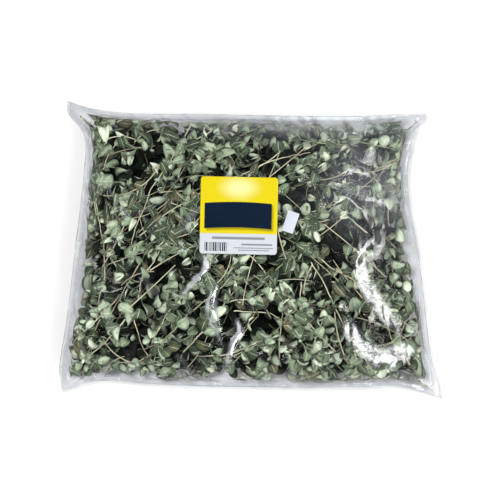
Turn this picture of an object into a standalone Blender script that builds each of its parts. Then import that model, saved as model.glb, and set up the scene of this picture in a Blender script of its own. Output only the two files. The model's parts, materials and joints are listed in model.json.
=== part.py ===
"""A clear pouch packed with cut oregano sprigs, lying on its back.

Metres, +Z up. The origin is on the surface that the pouch lies on, under the middle of its outline.
+X runs along the pouch's long side and +Y towards the label's top edge.
"""

import math
import random

import bmesh
import bpy
from mathutils import Matrix, Vector

MM = 0.001

# The outline of the sealed film, in millimetres. Each edge is a smooth curve through (place, reach) points.
# The sides are given by height and the ends by width, and the corners stand out as small ears.
LEFT_EDGE = [
    (-142.5, -189.5), (-117.5, -191.5), (-79.5, -185.5), (0.5, -175.5), (90.5, -165.5),
    (112.5, -166.5), (124.5, -172.5), (135.5, -182.5), (149.5, -183.5),
]
RIGHT_EDGE = [
    (-149.5, 191.5), (-134.5, 188.5), (-105.5, 180.5), (-39.5, 172.5), (0.5, 167.5),
    (50.5, 158.5), (75.5, 157.5), (105.5, 161.5), (119.5, 165.5), (128.5, 174.5), (136.5, 176.5),
]
BOTTOM_EDGE = [
    (-189.5, -142.5), (-159.5, -132.5), (-136.5, -131.5), (-85.5, -135.5), (44.5, -138.0),
    (110.5, -137.5), (146.5, -136.5), (170.5, -142.5), (191.5, -149.5),
]
TOP_EDGE = [
    (-183.5, 149.5), (-159.5, 141.5), (-120.5, 136.5), (-49.5, 135.5), (50.5, 133.5),
    (110.5, 133.5), (150.5, 135.5), (176.5, 136.5),
]

# Heights of the filled pouch
FRONT_HEIGHT = 66 * MM
SEAM_HEIGHT = 20 * MM
CORNER_DROOP = 11 * MM
MIDDLE_RISE = 12 * MM
SEAL_SHARE = 0.97
FLAT_SHARE = 0.58

# The film is drawn thicker than a real one, so that it is a sound solid.
FILM = 0.5 * MM
CLEARANCE = 0.3 * MM
FILM_COLUMNS = 16
FILM_ROWS = 14

# The label and the sticker, as width, height, middle and turn
LABEL_SIDE = 76.2 * MM
LABEL_MIDDLE = (-11.5 * MM, 33.5 * MM)
LABEL_TURN = math.radians(-1.2)
STICKER_SIZE = (11.5 * MM, 21 * MM)
STICKER_MIDDLE = (39.5 * MM, 27 * MM)
STICKER_TURN = math.radians(-19)
PAPER = 0.4 * MM
PAPER_CELLS = 4
CORNER_CUT = 0.06

# The packed sprigs: a layer behind the front film and one on the back film, each a grid of uneven cells
HERB_SHARE = 0.92
FRONT_GRID = (5, 4)
BACK_GRID = (4, 3)
CELL_JITTER = 0.16
CELL_GAP = 0.7 * MM
CORE_SHARE = 0.92
CORE_LUMP = 2.2 * MM
LEAF_THICKNESS = 0.7 * MM
LEAF_DEPTH = 11 * MM
LEAF_TO_FILM = 1.0 * MM
LEAF_SIDES = 6
LEAF_LENGTH = (21 * MM, 27 * MM)
LEAF_WIDTH = 0.66
LEAST_LEAF = 9 * MM
FRONT_PAIRS = 4
BACK_PAIRS = 4
STEM_RADIUS = 1.5 * MM
STEM_POINTS = 6
STEM_SHARE = 0.74
STEM_LIFT = 3.5 * MM
STEM_SINK = 7 * MM
SEED = 11


def smooth_curve(points, at):
    """The value at a place on a smooth curve through (place, value) points."""
    at = min(max(at, points[0][0]), points[-1][0])
    last = len(points) - 1
    index = max(i for i in range(last) if points[i][0] <= at)
    (x0, y0), (x1, y1) = points[index], points[index + 1]
    before = points[max(index - 1, 0)]
    after = points[min(index + 2, last)]
    slope_in = (y1 - before[1]) / (x1 - before[0])
    slope_out = (after[1] - y0) / (after[0] - x0)
    span = x1 - x0
    t = (at - x0) / span
    return (
        (2 * t**3 - 3 * t**2 + 1) * y0
        + (t**3 - 2 * t**2 + t) * span * slope_in
        + (3 * t**2 - 2 * t**3) * y1
        + (t**3 - t**2) * span * slope_out
    )


def edge(points, at):
    """As smooth_curve, with places and values in metres."""
    return smooth_curve(points, at / MM) * MM


def shares(x, y):
    """How far a point lies across and up the pouch, from -1 at one seam to 1 at the other."""
    left, right = edge(LEFT_EDGE, y), edge(RIGHT_EDGE, y)
    bottom, top = edge(BOTTOM_EDGE, x), edge(TOP_EDGE, x)
    return 2 * (x - left) / (right - left) - 1, 2 * (y - bottom) / (top - bottom) - 1


def place(u, v):
    """The point that lies a share u across and v up the pouch: the inverse of shares."""
    x, y = u * 175 * MM, v * 137 * MM
    for _ in range(24):
        left, right = edge(LEFT_EDGE, y), edge(RIGHT_EDGE, y)
        x = left + (u + 1) / 2 * (right - left)
        bottom, top = edge(BOTTOM_EDGE, x), edge(TOP_EDGE, x)
        y = bottom + (v + 1) / 2 * (top - bottom)
    return x, y


def seam_height(u, v):
    """The height of the seal, which droops towards the corners."""
    return SEAM_HEIGHT - CORNER_DROOP * abs(u * v) ** 5


def dome(share):
    """How full the front is at a share of the way out from the middle."""
    return max(0.0, 1 - (abs(share) / SEAL_SHARE) ** 3.8) ** 0.64


def sole(share):
    """How far the back reaches down, which is all the way where the pouch rests."""
    rising = max(0.0, (abs(share) - FLAT_SHARE) / (SEAL_SHARE - FLAT_SHARE))
    return max(0.0, 1 - rising**2) ** 0.8


def front_inside(x, y):
    """The height of the front film's inner face."""
    u, v = shares(x, y)
    seam = seam_height(u, v)
    return seam + CLEARANCE / 2 + (FRONT_HEIGHT - FILM - seam) * dome(u) * dome(v)


def back_inside(x, y):
    """The height of the back film's inner face."""
    u, v = shares(x, y)
    seam = seam_height(u, v) - CLEARANCE / 2
    return seam - (seam - FILM) * sole(u) * sole(v)


def middle(x, y):
    """The height at which the two layers of sprigs meet."""
    u, v = shares(x, y)
    return seam_height(u, v) + MIDDLE_RISE * (1 - u**2) * (1 - v**2)


def finish(name, mesh, look, collection):
    """Makes a named object of a mesh, in one material if it has one."""
    made = bpy.data.objects.new(name, mesh)
    collection.objects.link(made)
    if look is not None:
        mesh.materials.append(look)
    return made


def mesh_of(builder, name):
    """Turns a bmesh into a mesh."""
    mesh = bpy.data.meshes.new(name)
    builder.to_mesh(mesh)
    builder.free()
    return mesh


def material(name, colour, roughness, alpha=1.0):
    """A plain material."""
    made = bpy.data.materials.new(name)
    made.use_nodes = True
    shader = made.node_tree.nodes["Principled BSDF"]
    shader.inputs["Base Color"].default_value = (*colour, 1.0)
    shader.inputs["Roughness"].default_value = roughness
    shader.inputs["Metallic"].default_value = 0.0
    shader.inputs["Alpha"].default_value = alpha
    return made


def thicken(builder, height):
    """Gives an open surface a wall of that height, up or down."""
    lifted = bmesh.ops.extrude_face_region(builder, geom=builder.faces[:])
    for item in lifted["geom"]:
        if isinstance(item, bmesh.types.BMVert):
            item.co.z += height
    bmesh.ops.recalc_face_normals(builder, faces=builder.faces)


def spread(count):
    """Shares from -1 to 1, closer together towards the ends, where the film bends."""
    even = [2 * i / count - 1 for i in range(count + 1)]
    return [0.55 * e + 0.45 * math.sin(e * math.pi / 2) for e in even]


def film_panel(name, inside, outward, look, collection):
    """One film panel: an open surface at its inner face, thickened outwards."""
    builder = bmesh.new()
    bmesh.ops.create_grid(builder, x_segments=FILM_COLUMNS, y_segments=FILM_ROWS, size=1)
    across, up = spread(FILM_COLUMNS), spread(FILM_ROWS)
    for vertex in builder.verts:
        column = round((vertex.co.x + 1) / 2 * FILM_COLUMNS)
        row = round((vertex.co.y + 1) / 2 * FILM_ROWS)
        x, y = place(across[column], up[row])
        vertex.co = (x, y, inside(x, y))
    thicken(builder, outward * FILM)
    return finish(name, mesh_of(builder, name), look, collection)


def front_outside(x, y):
    """The height at which paper on the front film starts."""
    return front_inside(x, y) + FILM + CLEARANCE


def paper_patch(name, size, middle_at, turn, look, collection):
    """A rectangle of paper with cut corners that follows the front film."""
    builder = bmesh.new()
    bmesh.ops.create_grid(builder, x_segments=PAPER_CELLS, y_segments=PAPER_CELLS, size=0.5)
    for vertex in builder.verts:
        if abs(vertex.co.x) > 0.49 and abs(vertex.co.y) > 0.49:
            vertex.co *= 1 - CORNER_CUT
        across, up = vertex.co.x * size[0], vertex.co.y * size[1]
        x = middle_at[0] + across * math.cos(turn) - up * math.sin(turn)
        y = middle_at[1] + across * math.sin(turn) + up * math.cos(turn)
        vertex.co = (x, y, front_outside(x, y))
    thicken(builder, PAPER)
    return finish(name, mesh_of(builder, name), look, collection)


class Cell:
    """A four-sided patch of the pouch, seen from above, that holds one sprig and its leaves."""

    def __init__(self, corners):
        self.corners = [Vector(corner) for corner in corners]
        self.middle = sum(self.corners, Vector((0, 0))) / 4

    def sides(self):
        """Each side's start and its inward direction."""
        for i, start in enumerate(self.corners):
            along = (self.corners[(i + 1) % 4] - start).normalized()
            yield start, Vector((-along.y, along.x))

    def hold(self, point):
        """The point, moved inside the cell if it is outside it."""
        for start, inward in self.sides():
            short = CELL_GAP / 2 - (point - start).dot(inward)
            if short > 0:
                point = point + inward * short
        return point

    def reach(self, origin, direction):
        """How far it is from a point to the cell's edge."""
        found = 1.0
        for start, inward in self.sides():
            closing = -direction.dot(inward)
            if closing > 1e-6:
                room = (origin - start).dot(inward) - CELL_GAP / 2
                found = min(found, room / closing)
        return max(found, 0.0)

    def point(self, a, b):
        """The point at shares a and b, from -1 to 1, across and up the cell."""
        low = self.corners[0].lerp(self.corners[1], (a + 1) / 2)
        high = self.corners[3].lerp(self.corners[2], (a + 1) / 2)
        return low.lerp(high, (b + 1) / 2)


def cells(columns, rows, draw):
    """The uneven grid of cells that a layer of sprigs fills."""
    grid = []
    for j in range(rows + 1):
        line = []
        for i in range(columns + 1):
            u, v = 2 * i / columns - 1, 2 * j / rows - 1
            if 0 < i < columns:
                u += draw.uniform(-CELL_JITTER, CELL_JITTER) * 2 / columns
            if 0 < j < rows:
                v += draw.uniform(-CELL_JITTER, CELL_JITTER) * 2 / rows
            line.append(place(u * HERB_SHARE, v * HERB_SHARE))
        grid.append(line)
    for j in range(rows):
        for i in range(columns):
            yield Cell([grid[j][i], grid[j][i + 1], grid[j + 1][i + 1], grid[j + 1][i]])


class Layer:
    """The sprigs that face one film: side is 1 in front and -1 at the back."""

    def __init__(self, side):
        self.side = side

    def floor(self, x, y):
        """The height of the layer's inner face, against the other layer."""
        return middle(x, y) + self.side * CLEARANCE

    def limit(self, x, y):
        """The furthest height that a leaf reaches, just short of the film."""
        film = front_inside(x, y) if self.side > 0 else back_inside(x, y)
        outward = max(abs(share) for share in shares(x, y))
        return film - self.side * LEAF_TO_FILM * (1 + 2.2 * outward**6)

    def bed(self, x, y):
        """The height of the matted stems under the outer leaves."""
        floor, limit = self.floor(x, y), self.limit(x, y)
        depth = min(LEAF_DEPTH, 0.55 * abs(limit - floor))
        return limit - self.side * depth

    def clamp(self, x, y, z, below, above=0.0):
        """A height between the layer's two faces, with room to spare below it and above it."""
        inner = self.floor(x, y) + self.side * below
        outer = self.limit(x, y) - self.side * above
        if self.side * (outer - inner) < 0:
            return (inner + outer) / 2
        low, high = sorted((inner, outer))
        return min(max(z, low), high)


def matted_core(cell, layer, draw):
    """The matted stems and inner leaves that the outer leaves stand out of."""
    builder = bmesh.new()
    bmesh.ops.create_cube(builder, size=2)
    bmesh.ops.subdivide_edges(builder, edges=builder.edges[:], cuts=1, use_grid_fill=True)
    for vertex in builder.verts:
        a, b, c = vertex.co
        rounding = 1 - 0.16 * (abs(a) * abs(b))
        point = cell.point(CORE_SHARE * a * rounding, CORE_SHARE * b * rounding)
        height = layer.floor(*point)
        if c > -0.5:
            rise = abs(layer.bed(*point) - height)
            drop = min((draw.random() + max(abs(a), abs(b))) * CORE_LUMP, 0.45 * rise)
            height += layer.side * (rise - drop) * (c + 1) / 2
        vertex.co = (point.x, point.y, height)
    bmesh.ops.triangulate(builder, faces=builder.faces[:])
    bmesh.ops.recalc_face_normals(builder, faces=builder.faces)
    return mesh_of(builder, "core")


def stem_line(cell, layer, draw):
    """The points of a sprig's stem, from its cut end to its tip, across the cell's diagonal."""
    rising = draw.random() < 0.65
    start, end = ((-1, -1), (1, 1)) if rising else ((-1, 1), (1, -1))
    if draw.random() < 0.4:
        start, end = end, start
    bow = draw.uniform(-0.16, 0.16)
    line = []
    for i in range(STEM_POINTS):
        t = i / (STEM_POINTS - 1)
        a = STEM_SHARE * (start[0] + (end[0] - start[0]) * t)
        b = STEM_SHARE * (start[1] + (end[1] - start[1]) * t)
        sway = bow * math.sin(t * math.pi)
        point = cell.point(a - sway * end[1], b + sway * end[0])
        lift = (STEM_LIFT + STEM_SINK) * math.sin(t * math.pi) ** 0.8 - STEM_SINK
        height = layer.bed(*point) + layer.side * lift
        line.append(Vector((point.x, point.y, layer.clamp(*point, height, STEM_RADIUS, STEM_RADIUS))))
    return line


def stem_mesh(line):
    """A thin stem along a line, as a closed mesh."""
    curve = bpy.data.curves.new("stem", "CURVE")
    curve.dimensions = "3D"
    curve.bevel_depth = STEM_RADIUS
    curve.bevel_resolution = 0
    curve.use_fill_caps = True
    spline = curve.splines.new("POLY")
    spline.points.add(len(line) - 1)
    for point, at in zip(spline.points, line):
        point.co = (*at, 1)
    guide = bpy.data.objects.new("stem_guide", curve)
    mesh = bpy.data.meshes.new_from_object(guide)
    bpy.data.objects.remove(guide)
    builder = bmesh.new()
    builder.from_mesh(mesh)
    bmesh.ops.remove_doubles(builder, verts=builder.verts, dist=1e-6)
    bmesh.ops.recalc_face_normals(builder, faces=builder.faces)
    return mesh_of(builder, "stem")


def leaf_mesh(root, direction, length, cell, layer, draw):
    """An oval blade, cupped along its rib, from a root inside the stem towards its layer's film."""
    builder = bmesh.new()
    bmesh.ops.create_circle(
        builder, cap_ends=True, cap_tris=True, segments=LEAF_SIDES, radius=1
    )
    aside = Vector((-direction.y, direction.x))
    rise = draw.uniform(0.2, 0.85)
    cup = draw.uniform(0.4, 1.6) * MM
    lean = draw.uniform(-0.12, 0.12)
    for vertex in builder.verts:
        along = (1 + vertex.co.x) / 2
        across = vertex.co.y * LEAF_WIDTH / 2 * (1.12 - 0.24 * along)
        point = Vector(root[:2]) + direction * along * length + aside * across * length
        point = cell.hold(point)
        limit = layer.limit(*point)
        height = root.z + (limit - root.z) * rise * math.sin(along * math.pi * 0.55)
        height += layer.side * (cup * abs(vertex.co.y) + lean * across * length)
        vertex.co = (point.x, point.y, layer.clamp(*point, height, LEAF_THICKNESS))
    thicken(builder, -layer.side * LEAF_THICKNESS)
    return mesh_of(builder, "leaf")


def sprig(name, cell, layer, pairs, draw, look, collection):
    """One leafy stem: its matted core, its stem and its pairs of leaves, joined into one body."""
    repeats = bpy.data.collections.new(name + "_repeats")
    bpy.context.scene.collection.children.link(repeats)
    line = stem_line(cell, layer, draw)
    finish("stem", stem_mesh(line), None, repeats)
    for pair in range(pairs):
        t = (pair + 0.55) / pairs * (len(line) - 1)
        index = min(int(t), len(line) - 2)
        root = line[index].lerp(line[index + 1], t - index)
        forward = (line[index + 1] - line[index]).xy.normalized()
        for hand in (1, -1):
            turned = forward.copy()
            turned.rotate(Matrix.Rotation(hand * math.radians(draw.uniform(48, 70)), 2))
            room = cell.reach(Vector(root[:2]), turned)
            length = min(draw.uniform(*LEAF_LENGTH), room)
            if length > LEAST_LEAF:
                finish("leaf", leaf_mesh(root, turned, length, cell, layer, draw), None, repeats)
    made = finish(name, matted_core(cell, layer, draw), look, collection)
    join(made, repeats, look)
    return made


def without_scraps(mesh):
    """The mesh without any scrap that touches nothing of its largest body."""
    builder = bmesh.new()
    builder.from_mesh(mesh)
    waiting, bodies = set(builder.faces), []
    while waiting:
        body, front = [], [waiting.pop()]
        while front:
            face = front.pop()
            body.append(face)
            near = {other for e in face.edges for other in e.link_faces} & waiting
            waiting -= near
            front.extend(near)
        bodies.append(body)
    bodies.sort(key=len)
    for scrap in bodies[:-1]:
        bmesh.ops.delete(builder, geom=scrap, context="FACES")
    return mesh_of(builder, mesh.name)


def join(made, repeats, look):
    """Joins a collection's solids to an object for good, in one material, and removes them."""
    modifier = made.modifiers.new("join", "BOOLEAN")
    modifier.operation = "UNION"
    modifier.operand_type = "COLLECTION"
    modifier.collection = repeats
    modifier.solver = "MANIFOLD"
    graph = bpy.context.evaluated_depsgraph_get()
    graph.update()
    joined = bpy.data.meshes.new_from_object(made.evaluated_get(graph))
    made.modifiers.clear()
    made.data = without_scraps(joined)
    made.data.materials.append(look)
    for piece in list(repeats.objects):
        bpy.data.objects.remove(piece)
    bpy.data.collections.remove(repeats)


def main():
    """Builds the pouch."""
    for old in list(bpy.data.objects):
        bpy.data.objects.remove(old)
    pouch = bpy.data.collections.new("oregano_pouch")
    bpy.context.scene.collection.children.link(pouch)
    film_look = material("film", (0.86, 0.88, 0.9), 0.15, 0.35)
    film_panel("film_front", front_inside, 1, film_look, pouch)
    film_panel("film_back", back_inside, -1, film_look, pouch)
    label_look = material("label_paper", (0.95, 0.83, 0.1), 0.4)
    sticker_look = material("sticker_paper", (0.9, 0.9, 0.92), 0.5)
    side = (LABEL_SIDE, LABEL_SIDE)
    paper_patch("label", side, LABEL_MIDDLE, LABEL_TURN, label_look, pouch)
    paper_patch("blank_sticker", STICKER_SIZE, STICKER_MIDDLE, STICKER_TURN, sticker_look, pouch)
    herb = material("oregano_leaf", (0.22, 0.29, 0.17), 0.7)
    draw = random.Random(SEED)
    for side_name, layer, grid, pairs in (
        ("front", Layer(1), FRONT_GRID, FRONT_PAIRS),
        ("back", Layer(-1), BACK_GRID, BACK_PAIRS),
    ):
        for number, cell in enumerate(cells(*grid, draw), 1):
            name = f"sprig_{side_name}_{number:02d}"
            sprig(name, cell, layer, pairs, draw, herb, pouch)


main()
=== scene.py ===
"""The looks of a clear pouch packed with cut oregano sprigs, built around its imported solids."""

import json
import logging
import math
import random
from dataclasses import dataclass, field
from enum import Enum

import bpy
import numpy as np
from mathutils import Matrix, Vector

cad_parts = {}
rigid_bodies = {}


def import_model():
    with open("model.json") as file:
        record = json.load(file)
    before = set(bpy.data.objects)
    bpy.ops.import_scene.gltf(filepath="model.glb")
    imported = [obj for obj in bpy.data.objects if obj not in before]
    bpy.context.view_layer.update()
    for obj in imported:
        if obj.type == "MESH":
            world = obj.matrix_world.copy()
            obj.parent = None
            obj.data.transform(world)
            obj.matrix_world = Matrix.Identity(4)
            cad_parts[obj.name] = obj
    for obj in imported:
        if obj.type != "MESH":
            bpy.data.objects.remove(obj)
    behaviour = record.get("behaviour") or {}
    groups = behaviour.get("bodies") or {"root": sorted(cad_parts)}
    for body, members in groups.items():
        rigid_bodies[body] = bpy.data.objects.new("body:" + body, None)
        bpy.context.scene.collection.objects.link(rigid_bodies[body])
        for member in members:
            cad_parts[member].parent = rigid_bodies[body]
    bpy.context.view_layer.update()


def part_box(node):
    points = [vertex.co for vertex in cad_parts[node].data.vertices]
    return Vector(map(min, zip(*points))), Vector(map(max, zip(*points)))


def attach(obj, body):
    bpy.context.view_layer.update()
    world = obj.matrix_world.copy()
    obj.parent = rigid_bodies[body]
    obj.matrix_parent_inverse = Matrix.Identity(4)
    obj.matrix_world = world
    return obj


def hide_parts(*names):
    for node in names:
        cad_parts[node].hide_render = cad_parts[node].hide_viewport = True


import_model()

MM = 0.001
BODY = "root"
PLAN_VALUES = ("root", "turn", "length", "kind", "tone", "radius")
PLAN_KINDS = {"turn": "FLOAT_VECTOR", "kind": "INT"}
log = logging.getLogger("oregano_pouch")

Array = np.ndarray
Pairs = tuple[tuple[float, float], ...]
Colour = tuple[float, float, float]


def srgb(red: int, green: int, blue: int) -> Colour:
    """Turns a colour as a screen shows it into the linear one that shaders use.

    Args:
        red: Red, from 0 to 255.
        green: Green, from 0 to 255.
        blue: Blue, from 0 to 255.

    Returns:
        The linear colour.
    """
    return tuple(
        c / 12.92 if c <= 0.04045 else ((c + 0.055) / 1.055) ** 2.4
        for c in (red / 255, green / 255, blue / 255)
    )


def smoothstep(low: float, high: float, value: Array) -> Array:
    """A soft step from 0 to 1.

    Args:
        low: Where it starts to rise.
        high: Where it is 1.
        value: The values to step.

    Returns:
        The stepped values.
    """
    t = np.clip((value - low) / (high - low), 0, 1)
    return t * t * (3 - 2 * t)


def softplus(value: Array, width: Array) -> Array:
    """The value where it is well above 0, and a small positive one below, with a soft bend between.

    Args:
        value: The values to bend.
        width: How wide the bend is.

    Returns:
        The bent values.
    """
    share = value / width
    return np.where(share > 30, value, width * np.log1p(np.exp(np.clip(share, -40, 40))))


def quads(number: Array) -> Array:
    """The four-sided faces between the points of a grid.

    Args:
        number: Each point's number, in the grid's rows and columns.

    Returns:
        Each face's four point numbers.
    """
    corners = (number[:-1, :-1], number[:-1, 1:], number[1:, 1:], number[1:, :-1])
    return np.stack(corners, -1).reshape(-1, 4)


def slab_faces(wide: int, high: int) -> list:
    """The faces of a closed slab: a grid of points, and the same grid again under it.

    Args:
        wide: The number of points in a row.
        high: The number of rows.

    Returns:
        Each face's point numbers, the upper grid's first.
    """
    number = np.arange(wide * high).reshape(high, wide)
    top = quads(number)
    ring = [int(i) for i in (*number[0, :], *number[1:, -1], *number[-1, -2::-1], *number[-2:0:-1, 0])]
    count = number.size
    wall = [(a, a + count, b + count, b) for a, b in zip(ring, ring[1:] + ring[:1])]
    return top.tolist() + (top[:, ::-1] + count).tolist() + wall


class Side(Enum):
    """The film that a layer of sprigs faces."""

    FRONT = 1
    BACK = -1


class Fold(Enum):
    """How a crease of the film is shaped across its line."""

    TENT = "tent"
    ROUND = "round"
    SHED = "shed"


@dataclass
class PouchForm:
    """The filled pouch's shape: its sealed outline and the heights of its two films.

    The edges are smooth curves through (place, reach) points in millimetres, as in the solids.
    """

    left_edge: Pairs = (
        (-142.5, -189.5), (-117.5, -191.5), (-79.5, -185.5), (0.5, -175.5), (90.5, -165.5),
        (112.5, -166.5), (124.5, -172.5), (135.5, -182.5), (149.5, -183.5),
    )
    right_edge: Pairs = (
        (-149.5, 191.5), (-134.5, 188.5), (-105.5, 180.5), (-39.5, 172.5), (0.5, 167.5),
        (50.5, 158.5), (75.5, 157.5), (105.5, 161.5), (119.5, 165.5), (128.5, 174.5), (136.5, 176.5),
    )
    bottom_edge: Pairs = (
        (-189.5, -142.5), (-159.5, -132.5), (-136.5, -131.5), (-85.5, -135.5), (44.5, -138.0),
        (110.5, -137.5), (146.5, -136.5), (170.5, -142.5), (191.5, -149.5),
    )
    top_edge: Pairs = (
        (-183.5, 149.5), (-159.5, 141.5), (-120.5, 136.5), (-49.5, 135.5), (50.5, 133.5),
        (110.5, 133.5), (150.5, 135.5), (176.5, 136.5),
    )
    front_height: float = 66 * MM
    seam: float = 20 * MM
    corner_droop: float = 11 * MM
    middle_rise: float = 12 * MM
    seal_share: float = 0.97
    flat_share: float = 0.58
    film: float = 0.5 * MM
    gap: float = 0.3 * MM
    half_width: float = 175 * MM
    half_depth: float = 137 * MM
    place_rounds: int = 24

    @staticmethod
    def smooth_curve(points: Pairs, at: Array) -> Array:
        """The values at places on a smooth curve, all in metres.

        Args:
            points: The curve's (place, value) points, in millimetres.
            at: The places, in metres.

        Returns:
            The curve's values there.
        """
        places, values = np.array(points).T * MM
        last = len(places) - 1
        at = np.clip(at, places[0], places[-1])
        index = np.clip(np.searchsorted(places, at, side="right") - 1, 0, last - 1)
        before = np.maximum(index - 1, 0)
        after = np.minimum(index + 2, last)
        span = places[index + 1] - places[index]
        slope_in = (values[index + 1] - values[before]) / (places[index + 1] - places[before])
        slope_out = (values[after] - values[index]) / (places[after] - places[index])
        t = (at - places[index]) / span
        return (
            (2 * t**3 - 3 * t**2 + 1) * values[index]
            + (t**3 - 2 * t**2 + t) * span * slope_in
            + (3 * t**2 - 2 * t**3) * values[index + 1]
            + (t**3 - t**2) * span * slope_out
        )

    def shares(self, x: Array, y: Array) -> tuple[Array, Array]:
        """How far points lie across and up the pouch, from -1 at one seam to 1 at the other.

        Args:
            x: Places across, in metres.
            y: Places up, in metres.

        Returns:
            The shares across and up.
        """
        left, right = self.smooth_curve(self.left_edge, y), self.smooth_curve(self.right_edge, y)
        low, high = self.smooth_curve(self.bottom_edge, x), self.smooth_curve(self.top_edge, x)
        return 2 * (x - left) / (right - left) - 1, 2 * (y - low) / (high - low) - 1

    def place(self, u: Array, v: Array) -> tuple[Array, Array]:
        """The points that lie at given shares: the inverse of shares.

        Args:
            u: Shares across.
            v: Shares up.

        Returns:
            The places across and up, in metres.
        """
        x, y = u * self.half_width, v * self.half_depth
        for _ in range(self.place_rounds):
            left, right = self.smooth_curve(self.left_edge, y), self.smooth_curve(self.right_edge, y)
            x = left + (u + 1) / 2 * (right - left)
            low, high = self.smooth_curve(self.bottom_edge, x), self.smooth_curve(self.top_edge, x)
            y = low + (v + 1) / 2 * (high - low)
        return x, y

    def seam_height(self, u: Array, v: Array) -> Array:
        """The height of the seal, which droops towards the corners."""
        return self.seam - self.corner_droop * np.abs(u * v) ** 5

    def dome(self, share: Array) -> Array:
        """How full the front is at a share of the way out."""
        return np.maximum(0, 1 - (np.abs(share) / self.seal_share) ** 3.8) ** 0.72

    def sole(self, share: Array) -> Array:
        """How far the back reaches down, which is all the way where the pouch rests.

        Args:
            share: The share of the way out from the middle.

        Returns:
            How far down it reaches, from 0 to 1.
        """
        rising = np.maximum(0, (np.abs(share) - self.flat_share) / (self.seal_share - self.flat_share))
        return np.maximum(0, 1 - rising**2) ** 0.8

    def front(self, u: Array, v: Array) -> Array:
        """The height of the front film's inner face.

        Args:
            u: Shares across.
            v: Shares up.

        Returns:
            The heights.
        """
        seam = self.seam_height(u, v)
        return seam + self.gap / 2 + (self.front_height - self.film - seam) * self.dome(u) * self.dome(v)

    def back(self, u: Array, v: Array) -> Array:
        """The height of the back film's inner face.

        Args:
            u: Shares across.
            v: Shares up.

        Returns:
            The heights.
        """
        seam = self.seam_height(u, v) - self.gap / 2
        return seam - (seam - self.film) * self.sole(u) * self.sole(v)

    def middle(self, u: Array, v: Array) -> Array:
        """The height at which the two layers of sprigs meet."""
        return self.seam_height(u, v) + self.middle_rise * (1 - u**2) * (1 - v**2)


@dataclass
class Ripple:
    """Smooth random unevenness over the pouch, from -1 to 1, the same on each run."""

    seed: int
    size: int = 97

    def at(self, x: Array, y: Array, scale: float, stretch: float = 1.0) -> Array:
        """The unevenness at points.

        Args:
            x: Places across, in metres.
            y: Places up, in metres.
            scale: The distance between bumps, in metres.
            stretch: How many times longer the bumps are along y.

        Returns:
            The values there.
        """
        lattice = np.random.default_rng(self.seed).uniform(-1, 1, (self.size, self.size))
        s, t = x / scale + self.size / 2, y / (scale * stretch) + self.size / 2
        column, row = np.floor(s).astype(int), np.floor(t).astype(int)
        a, b = s - column, t - row
        a, b = a**3 * (a * (6 * a - 15) + 10), b**3 * (b * (6 * b - 15) + 10)

        def knot(i: int, j: int) -> Array:
            """The random values at the lattice's knots, so many columns and rows on."""
            return lattice[(column + i) % self.size, (row + j) % self.size]

        low = knot(0, 0) * (1 - a) + knot(1, 0) * a
        high = knot(0, 1) * (1 - a) + knot(1, 1) * a
        return low * (1 - b) + high * b


@dataclass(frozen=True)
class Crease:
    """One fold of the film along a line, in millimetres.

    A tent has a ridge this share of its width, a shed one side this share of the other, and a round fold
    a bell this share of its width.
    """

    line: Pairs
    height: float
    width: float
    fold: Fold = Fold.TENT
    ridge_share: float = 0.14
    steep_share: float = 0.3
    round_share: float = 0.6

    def lift(self, x: Array, y: Array) -> Array:
        """How far the crease lifts the film.

        Args:
            x: Places across, in metres.
            y: Places up, in metres.

        Returns:
            The lift there, in metres, which fades out at the crease's two ends.
        """
        nearest = np.full(x.shape, 1e9)
        along, hand = np.zeros(x.shape), np.zeros(x.shape)
        count = len(self.line) - 1
        for i, ((ax, ay), (bx, by)) in enumerate(zip(self.line, self.line[1:])):
            dx, dy = bx - ax, by - ay
            t = np.clip(((x / MM - ax) * dx + (y / MM - ay) * dy) / (dx * dx + dy * dy), 0, 1)
            apart = np.hypot(x / MM - ax - t * dx, y / MM - ay - t * dy)
            closer = apart < nearest
            nearest = np.where(closer, apart, nearest)
            along = np.where(closer, (i + t) / count, along)
            cross = dx * (y / MM - ay) - dy * (x / MM - ax)
            hand = np.where(closer, np.sign(cross), hand)
        if self.fold is Fold.TENT:
            soft = self.ridge_share * self.width
            shape = np.clip(1 - (np.sqrt(nearest**2 + soft**2) - soft) / self.width, 0, None)
        elif self.fold is Fold.SHED:
            wide = np.where(hand > 0, self.width, self.steep_share * self.width)
            shape = np.clip(1 - nearest / wide, 0, None)
        else:
            shape = np.exp(-((nearest / (self.round_share * self.width)) ** 2))
        return self.height * MM * shape * np.sin(np.pi * np.clip(along, 0.001, 0.999)) ** 0.6


@dataclass
class HeightField:
    """Heights over an even grid of points, read between them."""

    width: float = 0.21
    depth: float = 0.17
    step: float = 0.8 * MM
    heights: Array = field(default=None, repr=False)

    def grid(self) -> tuple[Array, Array]:
        """Lays out the grid.

        Returns:
            The places of its points across and up.
        """
        return np.meshgrid(
            np.arange(-self.width, self.width + self.step, self.step),
            np.arange(-self.depth, self.depth + self.step, self.step),
        )

    def at(self, x: Array, y: Array) -> Array:
        """The height at points, read between the grid's.

        Args:
            x: Places across, in metres.
            y: Places up, in metres.

        Returns:
            The heights there.
        """
        rows, columns = self.heights.shape
        s = np.clip((x + self.width) / self.step, 0, columns - 1.001)
        t = np.clip((y + self.depth) / self.step, 0, rows - 1.001)
        i, j = s.astype(int), t.astype(int)
        a, b = s - i, t - j
        h = self.heights
        low = h[j, i] * (1 - a) + h[j, i + 1] * a
        high = h[j + 1, i] * (1 - a) + h[j + 1, i + 1] * a
        return low * (1 - b) + high * b


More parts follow.
